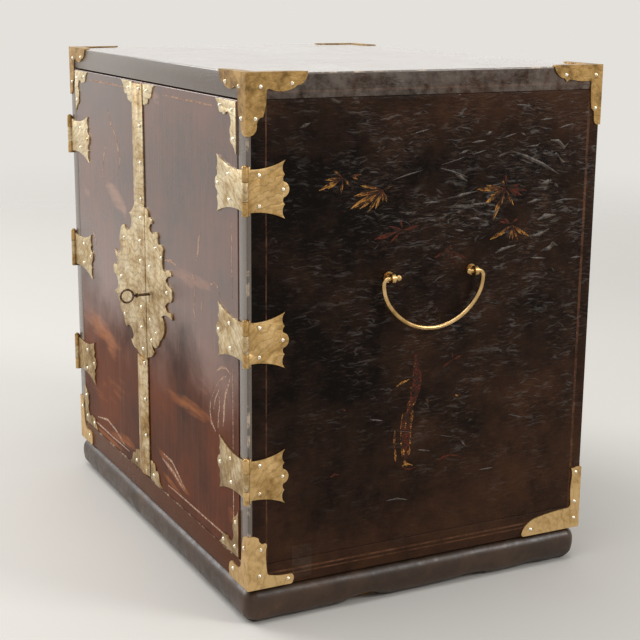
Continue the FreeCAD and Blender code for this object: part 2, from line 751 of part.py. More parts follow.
# Hinges
def leaf(start, reach, root, tip):
    """A hinge leaf: it flares from the knuckle to two points, with a scalloped end and a round lobe."""
    inner = reach - 1.5
    lobe = 0.27 * tip
    return [
        (start, -root, -0.07),
        (reach, -tip, -0.2),
        (reach - 0.5, -0.5 * tip, -0.2),
        (inner, -lobe, 0.38),
        (inner, lobe, -0.2),
        (reach - 0.5, 0.5 * tip, -0.2),
        (reach, tip, -0.07),
        (start, root, 0),
    ]


def knuckle_spans():
    """Low and high ends of the three knuckles, from the middle of the hinge."""
    half = size("knuckle_long") / 2
    middle = size("knuckle_middle") / 2
    gap = size("knuckle_gap")
    return (-half, -middle - gap), (-middle, middle), (middle + gap, half)


def hinge_heights():
    """The middles of the three hinges of a door."""
    low = size("plinth_height") + size("hinge_low")
    high = size("plinth_height") + size("body_height") - size("hinge_high")
    return low, (low + high) / 2 - size("hinge_drop"), high


def hinge_axis():
    """The right door's hinge axis, in the plan."""
    out = size("knuckle_out")
    return Vector(size("case_width") / 2 + out, -size("case_depth") / 2 - out, 0)


def with_knuckles(plate, plane, height, spans):
    """A leaf joined to its knuckles by tongues of its own thickness, and bored for the pin."""
    axis = hinge_axis()
    out = size("knuckle_out")
    thick = size("leaf_thick")
    bore = size("pin_round") + size("pin_play")
    parts = [plate]
    for low, high in spans:
        foot = Vector(axis.x, axis.y, height + low)
        parts.append(Part.makeCylinder(size("knuckle_round"), high - low, foot))
        reach = size("leaf_start") + 1
        tongue = [(-out, low, 0), (reach, low, 0), (reach, high, 0), (-out, high, 0)]
        parts.append(plane.plate(tongue, thick))
    joined = parts[0].fuse(parts[1:])
    hole = Part.makeCylinder(bore, 2 * size("leaf_tip"), Vector(axis.x, axis.y, height - size("leaf_tip")))
    return joined.cut(hole).removeSplitter()


def make_hinges(case_nails, right_nails, left_nails):
    """Three hinges a side: a leaf on the case's side, a leaf on the door, and the pin between them."""
    half = size("case_width") / 2
    front = -size("case_depth") / 2
    thick = size("leaf_thick")
    start = size("leaf_start")
    root = size("leaf_root")
    tip = size("leaf_tip")
    case_leaves = []
    door_leaves = []
    pins = []
    case_side = []
    door_side = []
    outer_low, middle, outer_high = knuckle_spans()
    for height in hinge_heights():
        flank = Sheet(Vector(half, front, height), Vector(0, 1, 0), Vector(0, 0, 1), Vector(1, 0, 0))
        reach = size("side_leaf")
        plate = flank.plate(leaf(start, reach, root, tip), thick)
        places = ((0.31 * reach, 0.52 * tip), (0.31 * reach, -0.52 * tip), (0.94 * reach, 0))
        plate = drilled(plate, flank, thick, places, case_side)
        case_leaves.append(with_knuckles(plate, flank, height, (outer_low, outer_high)))

        door_face = front - size("door_proud")
        face = Sheet(Vector(half, door_face, height), Vector(-1, 0, 0), Vector(0, 0, 1), Vector(0, -1, 0))
        reach = size("door_leaf")
        plate = face.plate(leaf(start, reach, root, tip), thick)
        places = ((0.57 * reach, 0.42 * tip), (0.54 * reach, -0.46 * tip), (0.96 * reach, 0))
        plate = drilled(plate, face, thick, places, door_side)
        door_leaves.append(with_knuckles(plate, face, height, (middle,)))
        pins.append(hinge_pin(height))
    case_nails += case_side + mirrored_nails(case_side)
    right_nails += door_side
    left_nails += mirrored_nails(door_side)
    case_leaves += [mirrored(shape) for shape in case_leaves]
    pins += [mirrored(shape) for shape in pins]
    keep(solid("case_leaves", Part.makeCompound(case_leaves)), "side_hinge_leaves")
    keep(solid("pins", Part.makeCompound(pins)), "hinge_pins")
    keep(solid("right_leaves", Part.makeCompound(door_leaves)), "right_door_leaves")
    keep(solid("left_leaves", Part.makeCompound([mirrored(s) for s in door_leaves])), "left_door_leaves")


def hinge_pin(height):
    """A pin through the three knuckles, with a domed head on top."""
    long = size("knuckle_long")
    pin = domed(size("knuckle_round"), size("pin_head"), size("pin_round"), long)
    axis = hinge_axis()
    pin.Placement = Placement(Vector(axis.x, axis.y, height + long / 2), Rotation())
    return pin


# The doors
def make_doors():
    low = f"({INNER_LOW} + sizes.door_gap)"
    high = f"({INNER_TOP} - sizes.door_gap)"
    edge = f"({INNER_HALF} - sizes.door_gap)"
    spans = {"left_door": (f"-{edge}", SEAM_LEFT), "right_door": (SEAM_RIGHT, edge)}
    for name, (start, end) in spans.items():
        door = padded_board(
            name + "_board", (start, low), (end, high), "sizes.door_thick", DOOR_FACE, "sizes.door_round"
        )
        if name == "right_door":
            key_x = "(sizes.seam_place + sizes.key_side)"
            key_z = "(sizes.plinth_height + sizes.key_height)"
            half = "(sizes.key_round + sizes.seat_gap)"
            sketch = sketch_on_front(door, "keyhole")
            drop = f"({key_z} - sizes.key_round - sizes.bit_long - 1)"
            bound_rectangle(sketch, (f"{key_x} - {half}", drop), (f"{key_x} + {half}", f"{key_z} + {half}"))
            pocket_through(door, sketch, "keyhole_pocket")
        keep(door, name)


def door_plane(side):
    """The face of a door, with u running from the seam to the hinges and v up from the case's bottom."""
    seam = size("seam_place") + side * size("seam_gap") / 2
    origin = Vector(seam, -size("case_depth") / 2 - size("door_proud"), size("plinth_height"))
    return Sheet(origin, Vector(side, 0, 0), Vector(0, 0, 1), Vector(0, -1, 0))


def bracket(arm, wide):
    """An L of thin brass: two arms with lobed inner edges that end in points."""
    return (
        (arm, 0, -0.1),
        (0.82 * arm, 0.62 * wide, 0.28),
        (0.66 * arm, 0.86 * wide, 0.22),
        (0.47 * arm, 0.84 * wide, -0.18),
        (wide, wide, -0.18),
        (0.84 * wide, 0.47 * arm, 0.22),
        (0.86 * wide, 0.66 * arm, 0.28),
        (0.62 * wide, 0.82 * arm, -0.1),
        (0, arm, 0),
    )


def make_door_mounts(side, nails):
    """Brackets in a door's hinge corners and small spandrels in its seam corners."""
    gap = size("door_gap")
    thick = size("plate_thick")
    low = size("bottom_thick") + gap + 1
    high = size("body_height") - size("top_thick") - gap - 1
    seam = size("seam_place") + side * size("seam_gap") / 2
    edge = side * (size("case_width") / 2 - size("side_thick") - gap - 1)
    face = -size("case_depth") / 2 - size("door_proud")
    inner = seam + side * (size("strap_wide") + 0.3 if side < 0 else 1)
    plates = []
    for height, up in ((low, 1), (high, -1)):
        level = height + size("plinth_height")
        corner = Sheet(Vector(edge, face, level), Vector(-side, 0, 0), Vector(0, 0, up), Vector(0, -1, 0))
        arm = size("door_mount_arm")
        wide = size("door_mount_wide")
        places = ((0.62 * wide, 0.62 * wide), (0.76 * arm, 0.45 * wide), (0.45 * wide, 0.72 * arm))
        plate = corner.plate(mount_edge(bracket(arm, wide)), thick)
        plates.append(drilled(plate, corner, thick, places, nails))
        corner = Sheet(Vector(inner, face, level), Vector(side, 0, 0), Vector(0, 0, up), Vector(0, -1, 0))
        arm = size("spandrel_arm")
        rise = size("spandrel_rise")
        spandrel = [
            (0, 0, 0),
            (arm, 0, -0.14),
            (0.72 * arm, 0.42 * rise, 0.3),
            (0.42 * arm, 0.62 * rise, 0.3),
            (0.2 * arm, rise, 0.2),
            (0, rise, 0),
        ]
        plate = corner.plate(spandrel, thick)
        plates.append(drilled(plate, corner, thick, ((0.3 * arm, 0.35 * rise),), nails))
    name = "right_door_mounts" if side > 0 else "left_door_mounts"
    keep(solid(name + "_plates", Part.makeCompound(plates)), name)


# The two halves of the lock plate: leafy outlines, from the seam outwards and up from the plate's middle
RIGHT_LEAFAGE = (
    (0.2, -68, 0),
    (5, -66, 0.1),
    (17, -59, -0.15),
    (12, -51, 0.15),
    (21, -54, 0.12),
    (32, -45, 0.1),
    (44, -33, 0.15),
    (38, -22, -0.1),
    (63, -20, 0.25),
    (59, -14, -0.2),
    (47, -11, -0.1),
    (60, -5, 0.35),
    (59, 8, -0.1),
    (49, 12, -0.1),
    (63, 18, 0.25),
    (52, 21, -0.15),
    (42, 21, -0.1),
    (44, 37, 0.2),
    (33, 40, -0.2),
    (32, 47, 0.3),
    (24, 49, -0.15),
    (11, 50, -0.25),
    (18, 56, 0.3),
    (9, 60, 0.2),
    (0.2, 68, 0),
)
LEFT_LEAFAGE = (
    (0.2, -70, 0),
    (17, -70, 0),
    (29, -66, 0.15),
    (42, -60, -0.2),
    (35, -55, -0.25),
    (53, -51, 0.15),
    (60, -45, -0.1),
    (70, -37, 0.1),
    (71, -31, 0.15),
    (78, -24.5, 0.12),
    (87, -23, -0.1),
    (75, -16, -0.2),
    (87, -6, 0.3),
    (85, 3, -0.25),
    (75, 8, 0.1),
    (83, 17, -0.15),
    (69, 16, -0.15),
    (66, 24, 0.2),
    (67, 33, 0.2),
    (55, 44, -0.2),
    (41, 42, -0.15),
    (34, 51, -0.2),
    (41, 57, -0.1),
    (24, 70, 0),
    (0.2, 70, 0),
)


def make_lock_plates(right_nails, left_nails):
    thick = size("lock_thick")
    middle = size("lock_height")
    face = door_plane(1)
    plate = face.plate([(u, v + middle, bulge) for u, v, bulge in RIGHT_LEAFAGE], thick)
    places = ((26, 36), (10, 17), (52, 2), (9, -31), (24, -40), (12, -49), (40, 30))
    plate = drilled(plate, face, thick, [(u, v + middle) for u, v in places], right_nails)
    hole_x = size("key_side") - size("seam_gap") / 2
    hole_z = size("key_height")
    radius = size("key_round") + size("seat_gap")
    keyhole = Part.makeCylinder(radius, thick + 2, face.spot(hole_x, hole_z, -1), face.facing)
    slot = [
        (hole_x - 1, hole_z - size("bit_long") - size("key_round") - 1, 0),
        (hole_x + 1, hole_z - size("bit_long") - size("key_round") - 1, 0),
        (hole_x + 1, hole_z, 0),
        (hole_x - 1, hole_z, 0),
    ]
    plate = plate.cut([keyhole, face.plate(slot, thick)])
    keep(solid("right_leafage", plate), "right_lock_plate")

    face = door_plane(-1)
    plate = face.plate([(u, v + middle, bulge) for u, v, bulge in LEFT_LEAFAGE], thick)
    places = ((66, -6), (55, 32), (58, -40), (9, 57), (12, 36), (12, 18), (12, -24), (12, -43), (9, -62))
    plate = drilled(plate, face, thick, [(u, v + middle) for u, v in places], left_nails)
    keep(solid("left_leafage", plate), "left_lock_plate")


def make_strap(nails):
    """The closing strap down the left door's meeting edge: a low ridge above and below the lock plate."""
    wide = size("strap_wide")
    edge = size("strap_edge")
    ridge = size("strap_ridge")
    end = size("door_gap") + size("strap_short")
    middle = size("lock_height")
    reach = size("lock_reach") + size("seat_gap")
    face = door_plane(-1)
    section = ((0, 0), (wide, 0), (wide, edge), (0.55 * wide, ridge), (0.4 * wide, ridge), (0, edge))
    seat = 0.2 * wide
    level = edge + (ridge - edge) / 2
    spans = (
        (size("bottom_thick") + end, middle - reach),
        (middle + reach, size("body_height") - size("top_thick") - end),
    )
    straps = []
    for low, high in spans:
        path = [face.spot(u, low, out) for u, out in section]
        strap = Part.Face(Part.makePolygon(path + path[:1])).extrude(Vector(0, 0, high - low))
        # A flat seat is milled for each nail head on the sloping face
        cutters = []
        for number in range(4):
            place = (seat, low + 4 + number * (high - low - 8) / 3)
            around = face.spot(*place, level)
            cutters.append(Part.makeCylinder(size("nail_round") + 0.2, 3, around, face.facing))
            cutters.append(Part.makeCylinder(size("nail_hole"), 6, face.spot(*place, -1), face.facing))
            nails.append((around, face.facing))
        straps.append(strap.cut(Part.makeCompound(cutters)))
    keep(solid("straps", Part.makeCompound(straps)), "closing_strap")


# The lock
def make_lock():
    """A box lock on the inside of the right door, its bolt, the keeper on the left door, and the key."""
    key_x = "(sizes.seam_place + sizes.key_side)"
    key_z = "(sizes.plinth_height + sizes.key_height)"
    low_x = "(sizes.seam_place + sizes.lock_edge)"
    low_z = f"({key_z} - sizes.lock_tall / 2)"
    sides = ("sizes.lock_wide", "sizes.lock_deep", "sizes.lock_tall")
    box = block("lock_box", (low_x, DOOR_BACK, low_z), sides)
    wall = "sizes.lock_wall"
    hollow = block(
        "lock_hollow",
        (f"{low_x} + {wall}", f"{DOOR_BACK} - 1", f"{low_z} + {wall}"),
        (f"sizes.lock_wide - 2 * {wall}", f"sizes.lock_deep - {wall} + 1", f"sizes.lock_tall - 2 * {wall}"),
    )
    bolt_z = f"({key_z} + sizes.key_round + sizes.bit_long + 2)"
    play = "sizes.slide_play"
    bolt_y = f"({DOOR_BACK} + sizes.lock_wall)"
    mouth = block(
        "lock_mouth",
        (f"{low_x} - 1", f"{bolt_y} - {play}", f"{bolt_z} - {play}"),
        (f"{wall} + 2", f"sizes.bolt_deep + 2 * {play}", f"sizes.bolt_tall + 2 * {play}"),
    )
    keep(cut("lock_case_cut", box, join("lock_spaces", [hollow, mouth])), "lock_case")
    sides = ("sizes.bolt_long", "sizes.bolt_deep", "sizes.bolt_tall")
    bolt = block("bolt", (f"{low_x} + {play}", bolt_y, bolt_z), sides)
    keep(bolt, "lock_bolt")

    keeper_x = f"({SEAM_LEFT} - 1 - sizes.keeper_wide)"
    outer = block(
        "keeper_block",
        (keeper_x, DOOR_BACK, f"{bolt_z} - 4"),
        ("sizes.keeper_wide", "sizes.lock_deep", "sizes.bolt_tall + 8"),
    )
    tunnel = block(
        "keeper_tunnel",
        (f"{keeper_x} - 1", f"{bolt_y} - {play}", f"{bolt_z} - {play}"),
        ("sizes.keeper_wide + 2", f"sizes.bolt_deep + 2 * {play}", f"sizes.bolt_tall + 2 * {play}"),
    )
    keep(cut("keeper_cut", outer, tunnel), "lock_keeper")

    outwards = Vector(0, -1, 0)
    shank_end = f"({DOOR_BACK} + sizes.lock_deep - sizes.lock_wall - sizes.seat_gap)"
    bow_y = f"({FRONT} - sizes.key_reach)"
    bow_edge = f"({bow_y} + sizes.bow_round)"
    bit_y = f"({DOOR_BACK} + sizes.lock_wall)"
    pieces = [
        rod("key_shank", (key_x, shank_end, key_z), outwards, "sizes.key_round", f"{shank_end} - {bow_edge}"),
        rod("key_collar", (key_x, f"{bow_edge} + 4", key_z), outwards, "sizes.key_round * 1.6", "2"),
        ring("key_bow", (key_x, bow_y, key_z), Vector(1, 0, 0), "sizes.bow_round", "sizes.bow_wire"),
        block(
            "key_bit",
            (f"{key_x} - 0.8", bit_y, f"{key_z} - sizes.key_round - sizes.bit_long"),
            ("1.6", f"{shank_end} - {bit_y}", "sizes.bit_long + sizes.key_round"),
        ),
    ]
    keep(join("key_solid", pieces), "key")


def make_slide_bolts():
    """The left door's two slide bolts, drawn back, and the four staples that carry them."""
    middle = "(sizes.seam_place - sizes.slide_place)"
    low_x = f"({middle} - sizes.slide_wide / 2)"
    bolt_y = f"({DOOR_BACK} + sizes.slide_play)"
    guide_wide = "(sizes.slide_wide + 2 * sizes.slide_play + 2 * sizes.staple_wall)"
    guide_deep = "(sizes.slide_deep + 2 * sizes.slide_play + sizes.staple_wall)"
    staples = []
    ends = {
        "top": (f"({INNER_TOP} - sizes.slide_short - sizes.slide_long)", 1),
        "bottom": (f"({INNER_LOW} + sizes.slide_short)", -1),
    }
    for name, (low, way) in ends.items():
        sides = ("sizes.slide_wide", "sizes.slide_deep", "sizes.slide_long")
        bar = block(f"{name}_bar", (low_x, bolt_y, low), sides)
        # The knob stands between the staples, as far from each as the throw and its play
        first = f"({low} + 1)" if way > 0 else f"({low} + sizes.staple_back)"
        second = (
            f"({low} + sizes.slide_long - sizes.staple_back - sizes.staple_tall)"
            if way > 0
            else f"({low} + sizes.slide_long - sizes.staple_tall - 1)"
        )
        knob_z = (
            f"({first} + sizes.staple_tall + sizes.slide_knob + 0.6)"
            if way > 0
            else f"({second} - sizes.slide_knob - 0.6)"
        )
        knob_y = f"({bolt_y} + sizes.slide_deep + 5)"
        knob = rod(f"{name}_knob", (middle, knob_y, knob_z), Vector(0, -1, 0), "sizes.slide_knob", "5.5")
        keep(join(f"{name}_bolt_solid", [bar, knob]), f"{name}_slide_bolt")
        for number, place in enumerate((first, second)):
            outer = block(
                f"{name}_staple_{number}",
                (f"{middle} - {guide_wide} / 2", DOOR_BACK, place),
                (guide_wide, guide_deep, "sizes.staple_tall"),
            )
            tunnel = block(
                f"{name}_tunnel_{number}",
                (f"{low_x} - sizes.slide_play", f"{DOOR_BACK} - 1", f"{place} - 1"),
                (
                    "sizes.slide_wide + 2 * sizes.slide_play",
                    "sizes.slide_deep + 2 * sizes.slide_play + 1",
                    "sizes.staple_tall + 2",
                ),
            )
            staples.append(cut(f"{name}_guide_{number}", outer, tunnel))
    keep(group("staples", staples), "slide_bolt_staples")


# The carrying handles
def bail_path():
    """Half a bail's centre line, from the ball on its end to its lowest point, in the plane of the side."""
    half = size("bail_half")
    drop = size("bail_drop")
    turn = size("bail_turn")
    flank = size("bail_side")
    eye = size("handle_half")
    inner = eye - size("eye_wide") - size("bail_end")
    # The bottom arc is tangent to the flank's arc and level at the middle
    reach = half - flank
    depth = drop - turn
    bottom = (reach * reach + depth * depth - flank * flank) / (2 * (depth - flank))
    lean = math.atan2(reach, bottom - depth)
    meet = (bottom * math.sin(lean), -drop + bottom - bottom * math.cos(lean))
    swing = math.pi / 2 - lean
    middle = (reach + flank * math.cos(swing / 2), -turn - flank * math.sin(swing / 2))
    low = (bottom * math.sin(lean / 2), -drop + bottom - bottom * math.cos(lean / 2))
    corner = turn * (1 - math.cos(math.pi / 4))
    return (
        ("line", (inner, 0), (half - turn, 0)),
        ("arc", (half - turn, 0), (half - corner, -corner), (half, -turn)),
        ("arc", (half, -turn), middle, meet),
        ("arc", meet, low, (0, -drop)),
    )


def make_handles():
    """Two eyes and a drop bail on each side of the case."""
    out = size("case_width") / 2 + size("handle_out")
    height = size("plinth_height") + size("handle_height")
    wire = size("bail_wire")

    def spot(sign, place):
        return Vector(out, sign * place[0], height + place[1])

    edges = []
    for sign in (1, -1):
        for kind, *points in bail_path():
            points = [spot(sign, p) for p in points]
            edges.append(Part.makeLine(*points) if kind == "line" else Part.Arc(*points).toShape())
    path = Part.Wire(Part.sortEdges(edges)[0])
    inner = bail_path()[0][1][0]
    section = Part.Wire(Part.makeCircle(wire, Vector(out, inner, height), Vector(0, 1, 0)))
    starts_right = path.OrderedVertexes[0].Point.y > 0
    if not starts_right:
        section.translate(Vector(0, -2 * inner, 0))
    tube = path.makePipeShell([section], True, False)
    balls = [Part.makeSphere(size("bail_end"), spot(sign, (inner, 0))) for sign in (1, -1)]
    bail = tube.fuse(balls).removeSplitter()
    length = path.Length
    swept = tube.Volume / (math.pi * wire * wire)
    print(f"bail: {length:.1f} mm of wire, {swept:.1f} mm by its volume")
    keep(solid("right_bail", bail), "right_handle")
    keep(solid("left_bail", mirrored(bail)), "left_handle")

    face = size("case_width") / 2
    eyes = []
    for sign in (1, -1):
        middle = sign * size("handle_half")
        start = Vector(out, middle - size("eye_wide") / 2, height)
        ring_of_eye = Part.makeCylinder(size("eye_round"), size("eye_wide"), start, Vector(0, 1, 0))
        foot = Vector(face, middle, height)
        rose = Part.makeCylinder(size("rose_round"), size("plate_thick"), foot, Vector(1, 0, 0))
        stem_long = out - face + size("nail_long") + 3
        root = Vector(out, middle, height)
        stem = Part.makeCylinder(0.4 * size("eye_wide"), stem_long, root, Vector(-1, 0, 0))
        bore_start = start - Vector(0, 1, 0)
        bore = Part.makeCylinder(size("eye_bore"), size("eye_wide") + 2, bore_start, Vector(0, 1, 0))
        eyes.append(ring_of_eye.fuse([rose, stem]).cut(bore).removeSplitter())
    eyes += [mirrored(eye) for eye in eyes]
    keep(solid("eyes", Part.makeCompound(eyes)), "handle_eyes")


def check():
    """Every object is up to date and every sub-part is a valid shape of closed solids."""
    doc.recompute()
    for piece in doc.Objects:
        if "Invalid" in piece.State or "Error" in piece.State:
            raise ValueError(f"{piece.Name} failed: {piece.State}")
    for piece in nodes:
        shape = piece.Shape
        if shape.isNull() or not shape.isValid() or not shape.Solids:
            raise ValueError(f"{piece.Label} is not a valid solid")
        if any(part.Volume <= 0 for part in shape.Solids):
            raise ValueError(f"{piece.Label} holds a solid that is inside out")


def main():
    case_nails = []
    right_nails = []
    left_nails = []
    make_plinth()
    make_case()
    make_drawer_space()
    make_corner_mounts(case_nails)
    make_doors()
    make_hinges(case_nails, right_nails, left_nails)
    make_door_mounts(1, right_nails)
    make_door_mounts(-1, left_nails)
    make_lock_plates(right_nails, left_nails)
    make_strap(left_nails)
    make_lock()
    make_slide_bolts()
    make_handles()
    for column in COLUMNS:
        for level in OPENINGS:
            make_drawer(column, level)
    keep(solid("case_nail_group", nail_solids(case_nails)), "case_nails")
    keep(solid("right_nail_group", nail_solids(right_nails)), "right_door_nails")
    keep(solid("left_nail_group", nail_solids(left_nails)), "left_door_nails")
    check()
    os.makedirs("parts", exist_ok=True)
    for piece in nodes:
        piece.Shape.exportStep(f"parts/{piece.Label}.step")
    print(f"{len(nodes)} sub-parts, {sum(len(piece.Shape.Solids) for piece in nodes)} solids")


main()
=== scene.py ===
import json
import math

import bmesh
import bpy
from bpy.props import FloatProperty, FloatVectorProperty, PointerProperty
from bpy.types import Operator, Panel, PropertyGroup
from mathutils import Matrix, Vector, noise


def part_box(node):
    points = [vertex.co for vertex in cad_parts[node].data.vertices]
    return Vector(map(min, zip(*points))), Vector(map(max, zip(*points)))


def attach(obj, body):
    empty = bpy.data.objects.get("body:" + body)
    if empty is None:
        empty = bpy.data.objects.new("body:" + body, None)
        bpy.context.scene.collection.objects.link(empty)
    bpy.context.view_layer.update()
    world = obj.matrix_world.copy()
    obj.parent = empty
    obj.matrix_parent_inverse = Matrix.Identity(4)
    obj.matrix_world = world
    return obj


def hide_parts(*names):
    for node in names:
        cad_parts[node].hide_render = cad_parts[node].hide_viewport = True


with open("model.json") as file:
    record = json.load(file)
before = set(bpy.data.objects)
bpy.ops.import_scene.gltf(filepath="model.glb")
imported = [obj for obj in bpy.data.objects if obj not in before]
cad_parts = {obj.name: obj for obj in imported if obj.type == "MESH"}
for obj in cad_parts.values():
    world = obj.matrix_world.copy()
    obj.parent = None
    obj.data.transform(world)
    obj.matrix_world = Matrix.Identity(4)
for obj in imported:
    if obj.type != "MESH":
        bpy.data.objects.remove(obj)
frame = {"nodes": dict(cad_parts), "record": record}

bl_info = {
    "name": "Lacquered jewellery cabinet",
    "version": (1, 0, 0),
    "blender": (4, 5, 0),
    "location": "View3D > Sidebar > Cabinet",
    "description": "Dresses the cabinet's frame in aged lacquer, wrought brass and worn gold painting",
    "category": "Object",
}

# Lengths below are in metres unless a name says otherwise
MM = 0.001
BODY_OF = {n: body for body, members in frame["record"]["behaviour"]["bodies"].items() for n in members}
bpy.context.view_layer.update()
SIDES = {"left": -1, "right": 1}
LEVELS = ("low", "middle", "top")
DRAWERS = [f"{side}_{level}_drawer" for side in SIDES for level in LEVELS]


def linear(code):
    """An sRGB hex colour as linear red, green and blue."""
    parts = [int(code[i : i + 2], 16) / 255 for i in (1, 3, 5)]
    return tuple(c / 12.92 if c <= 0.04045 else ((c + 0.055) / 1.055) ** 2.4 for c in parts)


def colour(name, words, code):
    """A colour that the user may change."""
    return FloatVectorProperty(
        name=name, description=words, subtype="COLOR", size=3, min=0, max=1, default=linear(code)
    )


def setting(name, words, value, **limits):
    """A number that the user may change."""
    return FloatProperty(name=name, description=words, default=value, **limits)


class LacquerLook(PropertyGroup):
    """Colours and wear of the lacquer."""

    deep: colour("Deep black", "Black urushi where it is whole", "#0f0906")
    warm: colour("Warm brown", "Black urushi where age has browned it", "#2e1e15")
    mist: colour("Brown mist", "Where the black has worn thin", "#442c1d")
    door_dark: colour("Door brown", "Doors, the darker streaks", "#3f2014")
    door_red: colour("Door red", "Doors, the redder streaks", "#713d25")
    ember: colour("Ember orange", "Worn painting on the doors", "#a05f33")
    faded: colour("Faded ember", "The same painting higher up", "#9a6a52")
    # Browner than black, in part as a painted warm reflection
    plinth: colour("Plinth black", "Plinth", "#33251b")
    # The crest grey is dust and a painted highlight; it also paints the sheen of rubbed faces and flakes
    crest: colour("Dusty crest", "Crests of the wrinkles", "#6a5d52")
    # The rail's brown is a painted warm reflection
    rail: colour("Brown rail", "Bottom rail, where feet and cloths have rubbed it", "#5e3823")
    chip: colour("Bare ground", "Priming that shows where edges are chipped", "#c3ac92")
    line: colour("Border line", "Worn border lines", "#76503a")
    wrinkle: setting("Wrinkle height", "Height of the wrinkles", 0.9 * MM, subtype="DISTANCE")
    swell: setting("Board unevenness", "How far the boards have warped", 0.5 * MM, subtype="DISTANCE")


class BrassLook(PropertyGroup):
    """Colours of the metal."""

    # The pale colours paint the front mounts paler than the side ones: rubbed, and a painted reflection of the
    # window
    pale: colour("Pale brass", "Front mounts where they are rubbed", "#e3d4b2")
    dull_pale_glare: colour("Dull pale brass", "Most of the front mounts", "#ad9266")
    golden: colour("Golden brass", "Side mounts where they are rubbed", "#d8b680")
    golden_dull: colour("Dull golden brass", "Most of the side mounts", "#ab8955")
    tarnish: colour("Tarnish", "Brown tarnish in the hollows", "#6b5230")
    nail: colour("Nail heads", "Bright domed nails", "#f0e8d4")
    iron: colour("Iron", "Key and lock", "#7d6856")


class PaintingLook(PropertyGroup):
    """Colours of the painting."""

    gold: colour("Gold powder", "Bamboo leaves and stalks", "#c98f45")
    red: colour("Red powder", "Faded leaves and the roots of the gold ones", "#6b2d1b")
    worn: colour("Worn gold", "Reeds and lines on the doors", "#c9a077")


class StageLook(PropertyGroup):
    """Floor, light and camera."""

    floor: colour("Floor", "Plain pale floor", "#d8d5d0")
    wall: colour("Wall", "Pale room behind the floor", "#e4e1dc")
    reach: setting("Floor reach", "Radius of the floor", 4.0, min=1)
    ambient: setting("Room light", "Strength of the light from all sides", 0.35, min=0)
    lens: setting("Lens", "Focal length in millimetres", 78.5, min=10)
    azimuth: setting("Azimuth", "Camera direction", math.radians(63.25), subtype="ANGLE")
    elevation: setting("Elevation", "Camera height angle", math.radians(13.56), subtype="ANGLE")
    roll: setting("Roll", "Camera tilt", math.radians(0.4615), subtype="ANGLE")
    place: FloatVectorProperty(
        name="Place", description="Camera position", default=(1.1435, -0.5651, 0.4932), subtype="TRANSLATION"
    )


# Selecting and editing
def only(*pieces):
    """Selects these objects and nothing else; the first is active."""
    if bpy.context.mode != "OBJECT":
        bpy.ops.object.mode_set(mode="OBJECT")
    bpy.ops.object.select_all(action="DESELECT")
    for piece in pieces:
        piece.select_set(True)
    bpy.context.view_layer.objects.active = pieces[0]


class Editing:
    """Edit mode on one piece, where faces or edges are chosen by a test."""

    def __init__(self, piece, kind="FACE"):
        self.piece = piece
        self.kind = kind

    def __enter__(self):
        only(self.piece)
        bpy.ops.object.mode_set(mode="EDIT")
        bpy.ops.mesh.select_mode(type=self.kind)
        bpy.ops.mesh.select_all(action="DESELECT")
        return self

    def choose(self, test):
        mesh = bmesh.from_edit_mesh(self.piece.data)
        for item in {"FACE": mesh.faces, "EDGE": mesh.edges, "VERT": mesh.verts}[self.kind]:
            item.select_set(bool(test(item)))
        bmesh.update_edit_mesh(self.piece.data)

    def __exit__(self, *problem):
        bpy.ops.object.mode_set(mode="OBJECT")


def apply_modifier(piece, kind, **settings):
    """Adds a modifier with its settings and applies it."""
    only(piece)
    modifier = piece.modifiers.new(kind.title(), kind)
    for key, value in settings.items():
        setattr(modifier, key, value)
    bpy.ops.object.modifier_apply(modifier=modifier.name)


def smooth(piece, degrees=35):
    only(piece)
    bpy.ops.object.shade_smooth_by_angle(angle=math.radians(degrees))


def primitive(kind, name, **settings):
    """A new primitive from its operator, named and alone in the selection."""
    if bpy.context.mode != "OBJECT":
        bpy.ops.object.mode_set(mode="OBJECT")
    bpy.ops.object.select_all(action="DESELECT")
    getattr(bpy.ops.mesh, f"primitive_{kind}_add")(**settings)
    piece = bpy.context.object
    piece.name = name
    return piece


def settle(piece):
    """Puts a piece's place, turn and scale into its mesh."""
    only(piece)
    bpy.ops.object.transform_apply(location=True, rotation=True, scale=True)


def joined(pieces, name):
    """Several pieces as one."""
    only(*pieces)
    if len(pieces) > 1:
        bpy.ops.object.join()
    piece = bpy.context.object
    piece.name = name
    settle(piece)
    return piece


def dressed(piece, body, material, nodes=()):
    """Gives a finished piece its material, its body and the nodes that it stands for."""
    piece.data.materials.clear()
    piece.data.materials.append(material)
    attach(piece, body)
    if nodes:
        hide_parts(*nodes)
    return piece


def repaint(material, *nodes):
    """Gives CAD nodes their real finish."""
    for node in nodes:
        piece = frame["nodes"][node]
        piece.data.materials.clear()
        piece.data.materials.append(material)


def in_place_of(node, piece, material):
    """Dresses a finished piece that takes one CAD node's place."""
    return dressed(piece, BODY_OF[node], material, [node])


def merge_points(piece, distance):
    """Makes points closer than a distance one, and flat faces whole again."""
    with Editing(piece, "VERT"):
        bpy.ops.mesh.select_all(action="SELECT")
        bpy.ops.mesh.remove_doubles(threshold=distance)
        bpy.ops.mesh.dissolve_limited(angle_limit=math.radians(0.5))


def copy_of(node, name):
    """A merged copy of a CAD node's mesh, with its flat faces whole again."""
    source = frame["nodes"][node]
    only(source)
    bpy.ops.object.duplicate()
    piece = bpy.context.object
    piece.name = name
    piece.parent = None
    for key in list(piece.keys()):
        del piece[key]
    bpy.ops.mesh.customdata_custom_splitnormals_clear()
    merge_points(piece, 0.001 * MM)
    return piece


def softened(node, name, width, segments=2, merge=0.0):
    """A copy of a node whose sharp edges are rounded, as wear rounds them.

    Points closer than merge become one first, so that the rounding of a cut outline's small steps
    doesn't cross itself.
    """
    piece = copy_of(node, name)
    if merge:
        merge_points(piece, merge)
    apply_modifier(
        piece,
        "BEVEL",
        width=width,
        segments=segments,
        limit_method="ANGLE",
        angle_limit=math.radians(40),
        use_clamp_overlap=False,
    )
    smooth(piece, 40)
    return piece


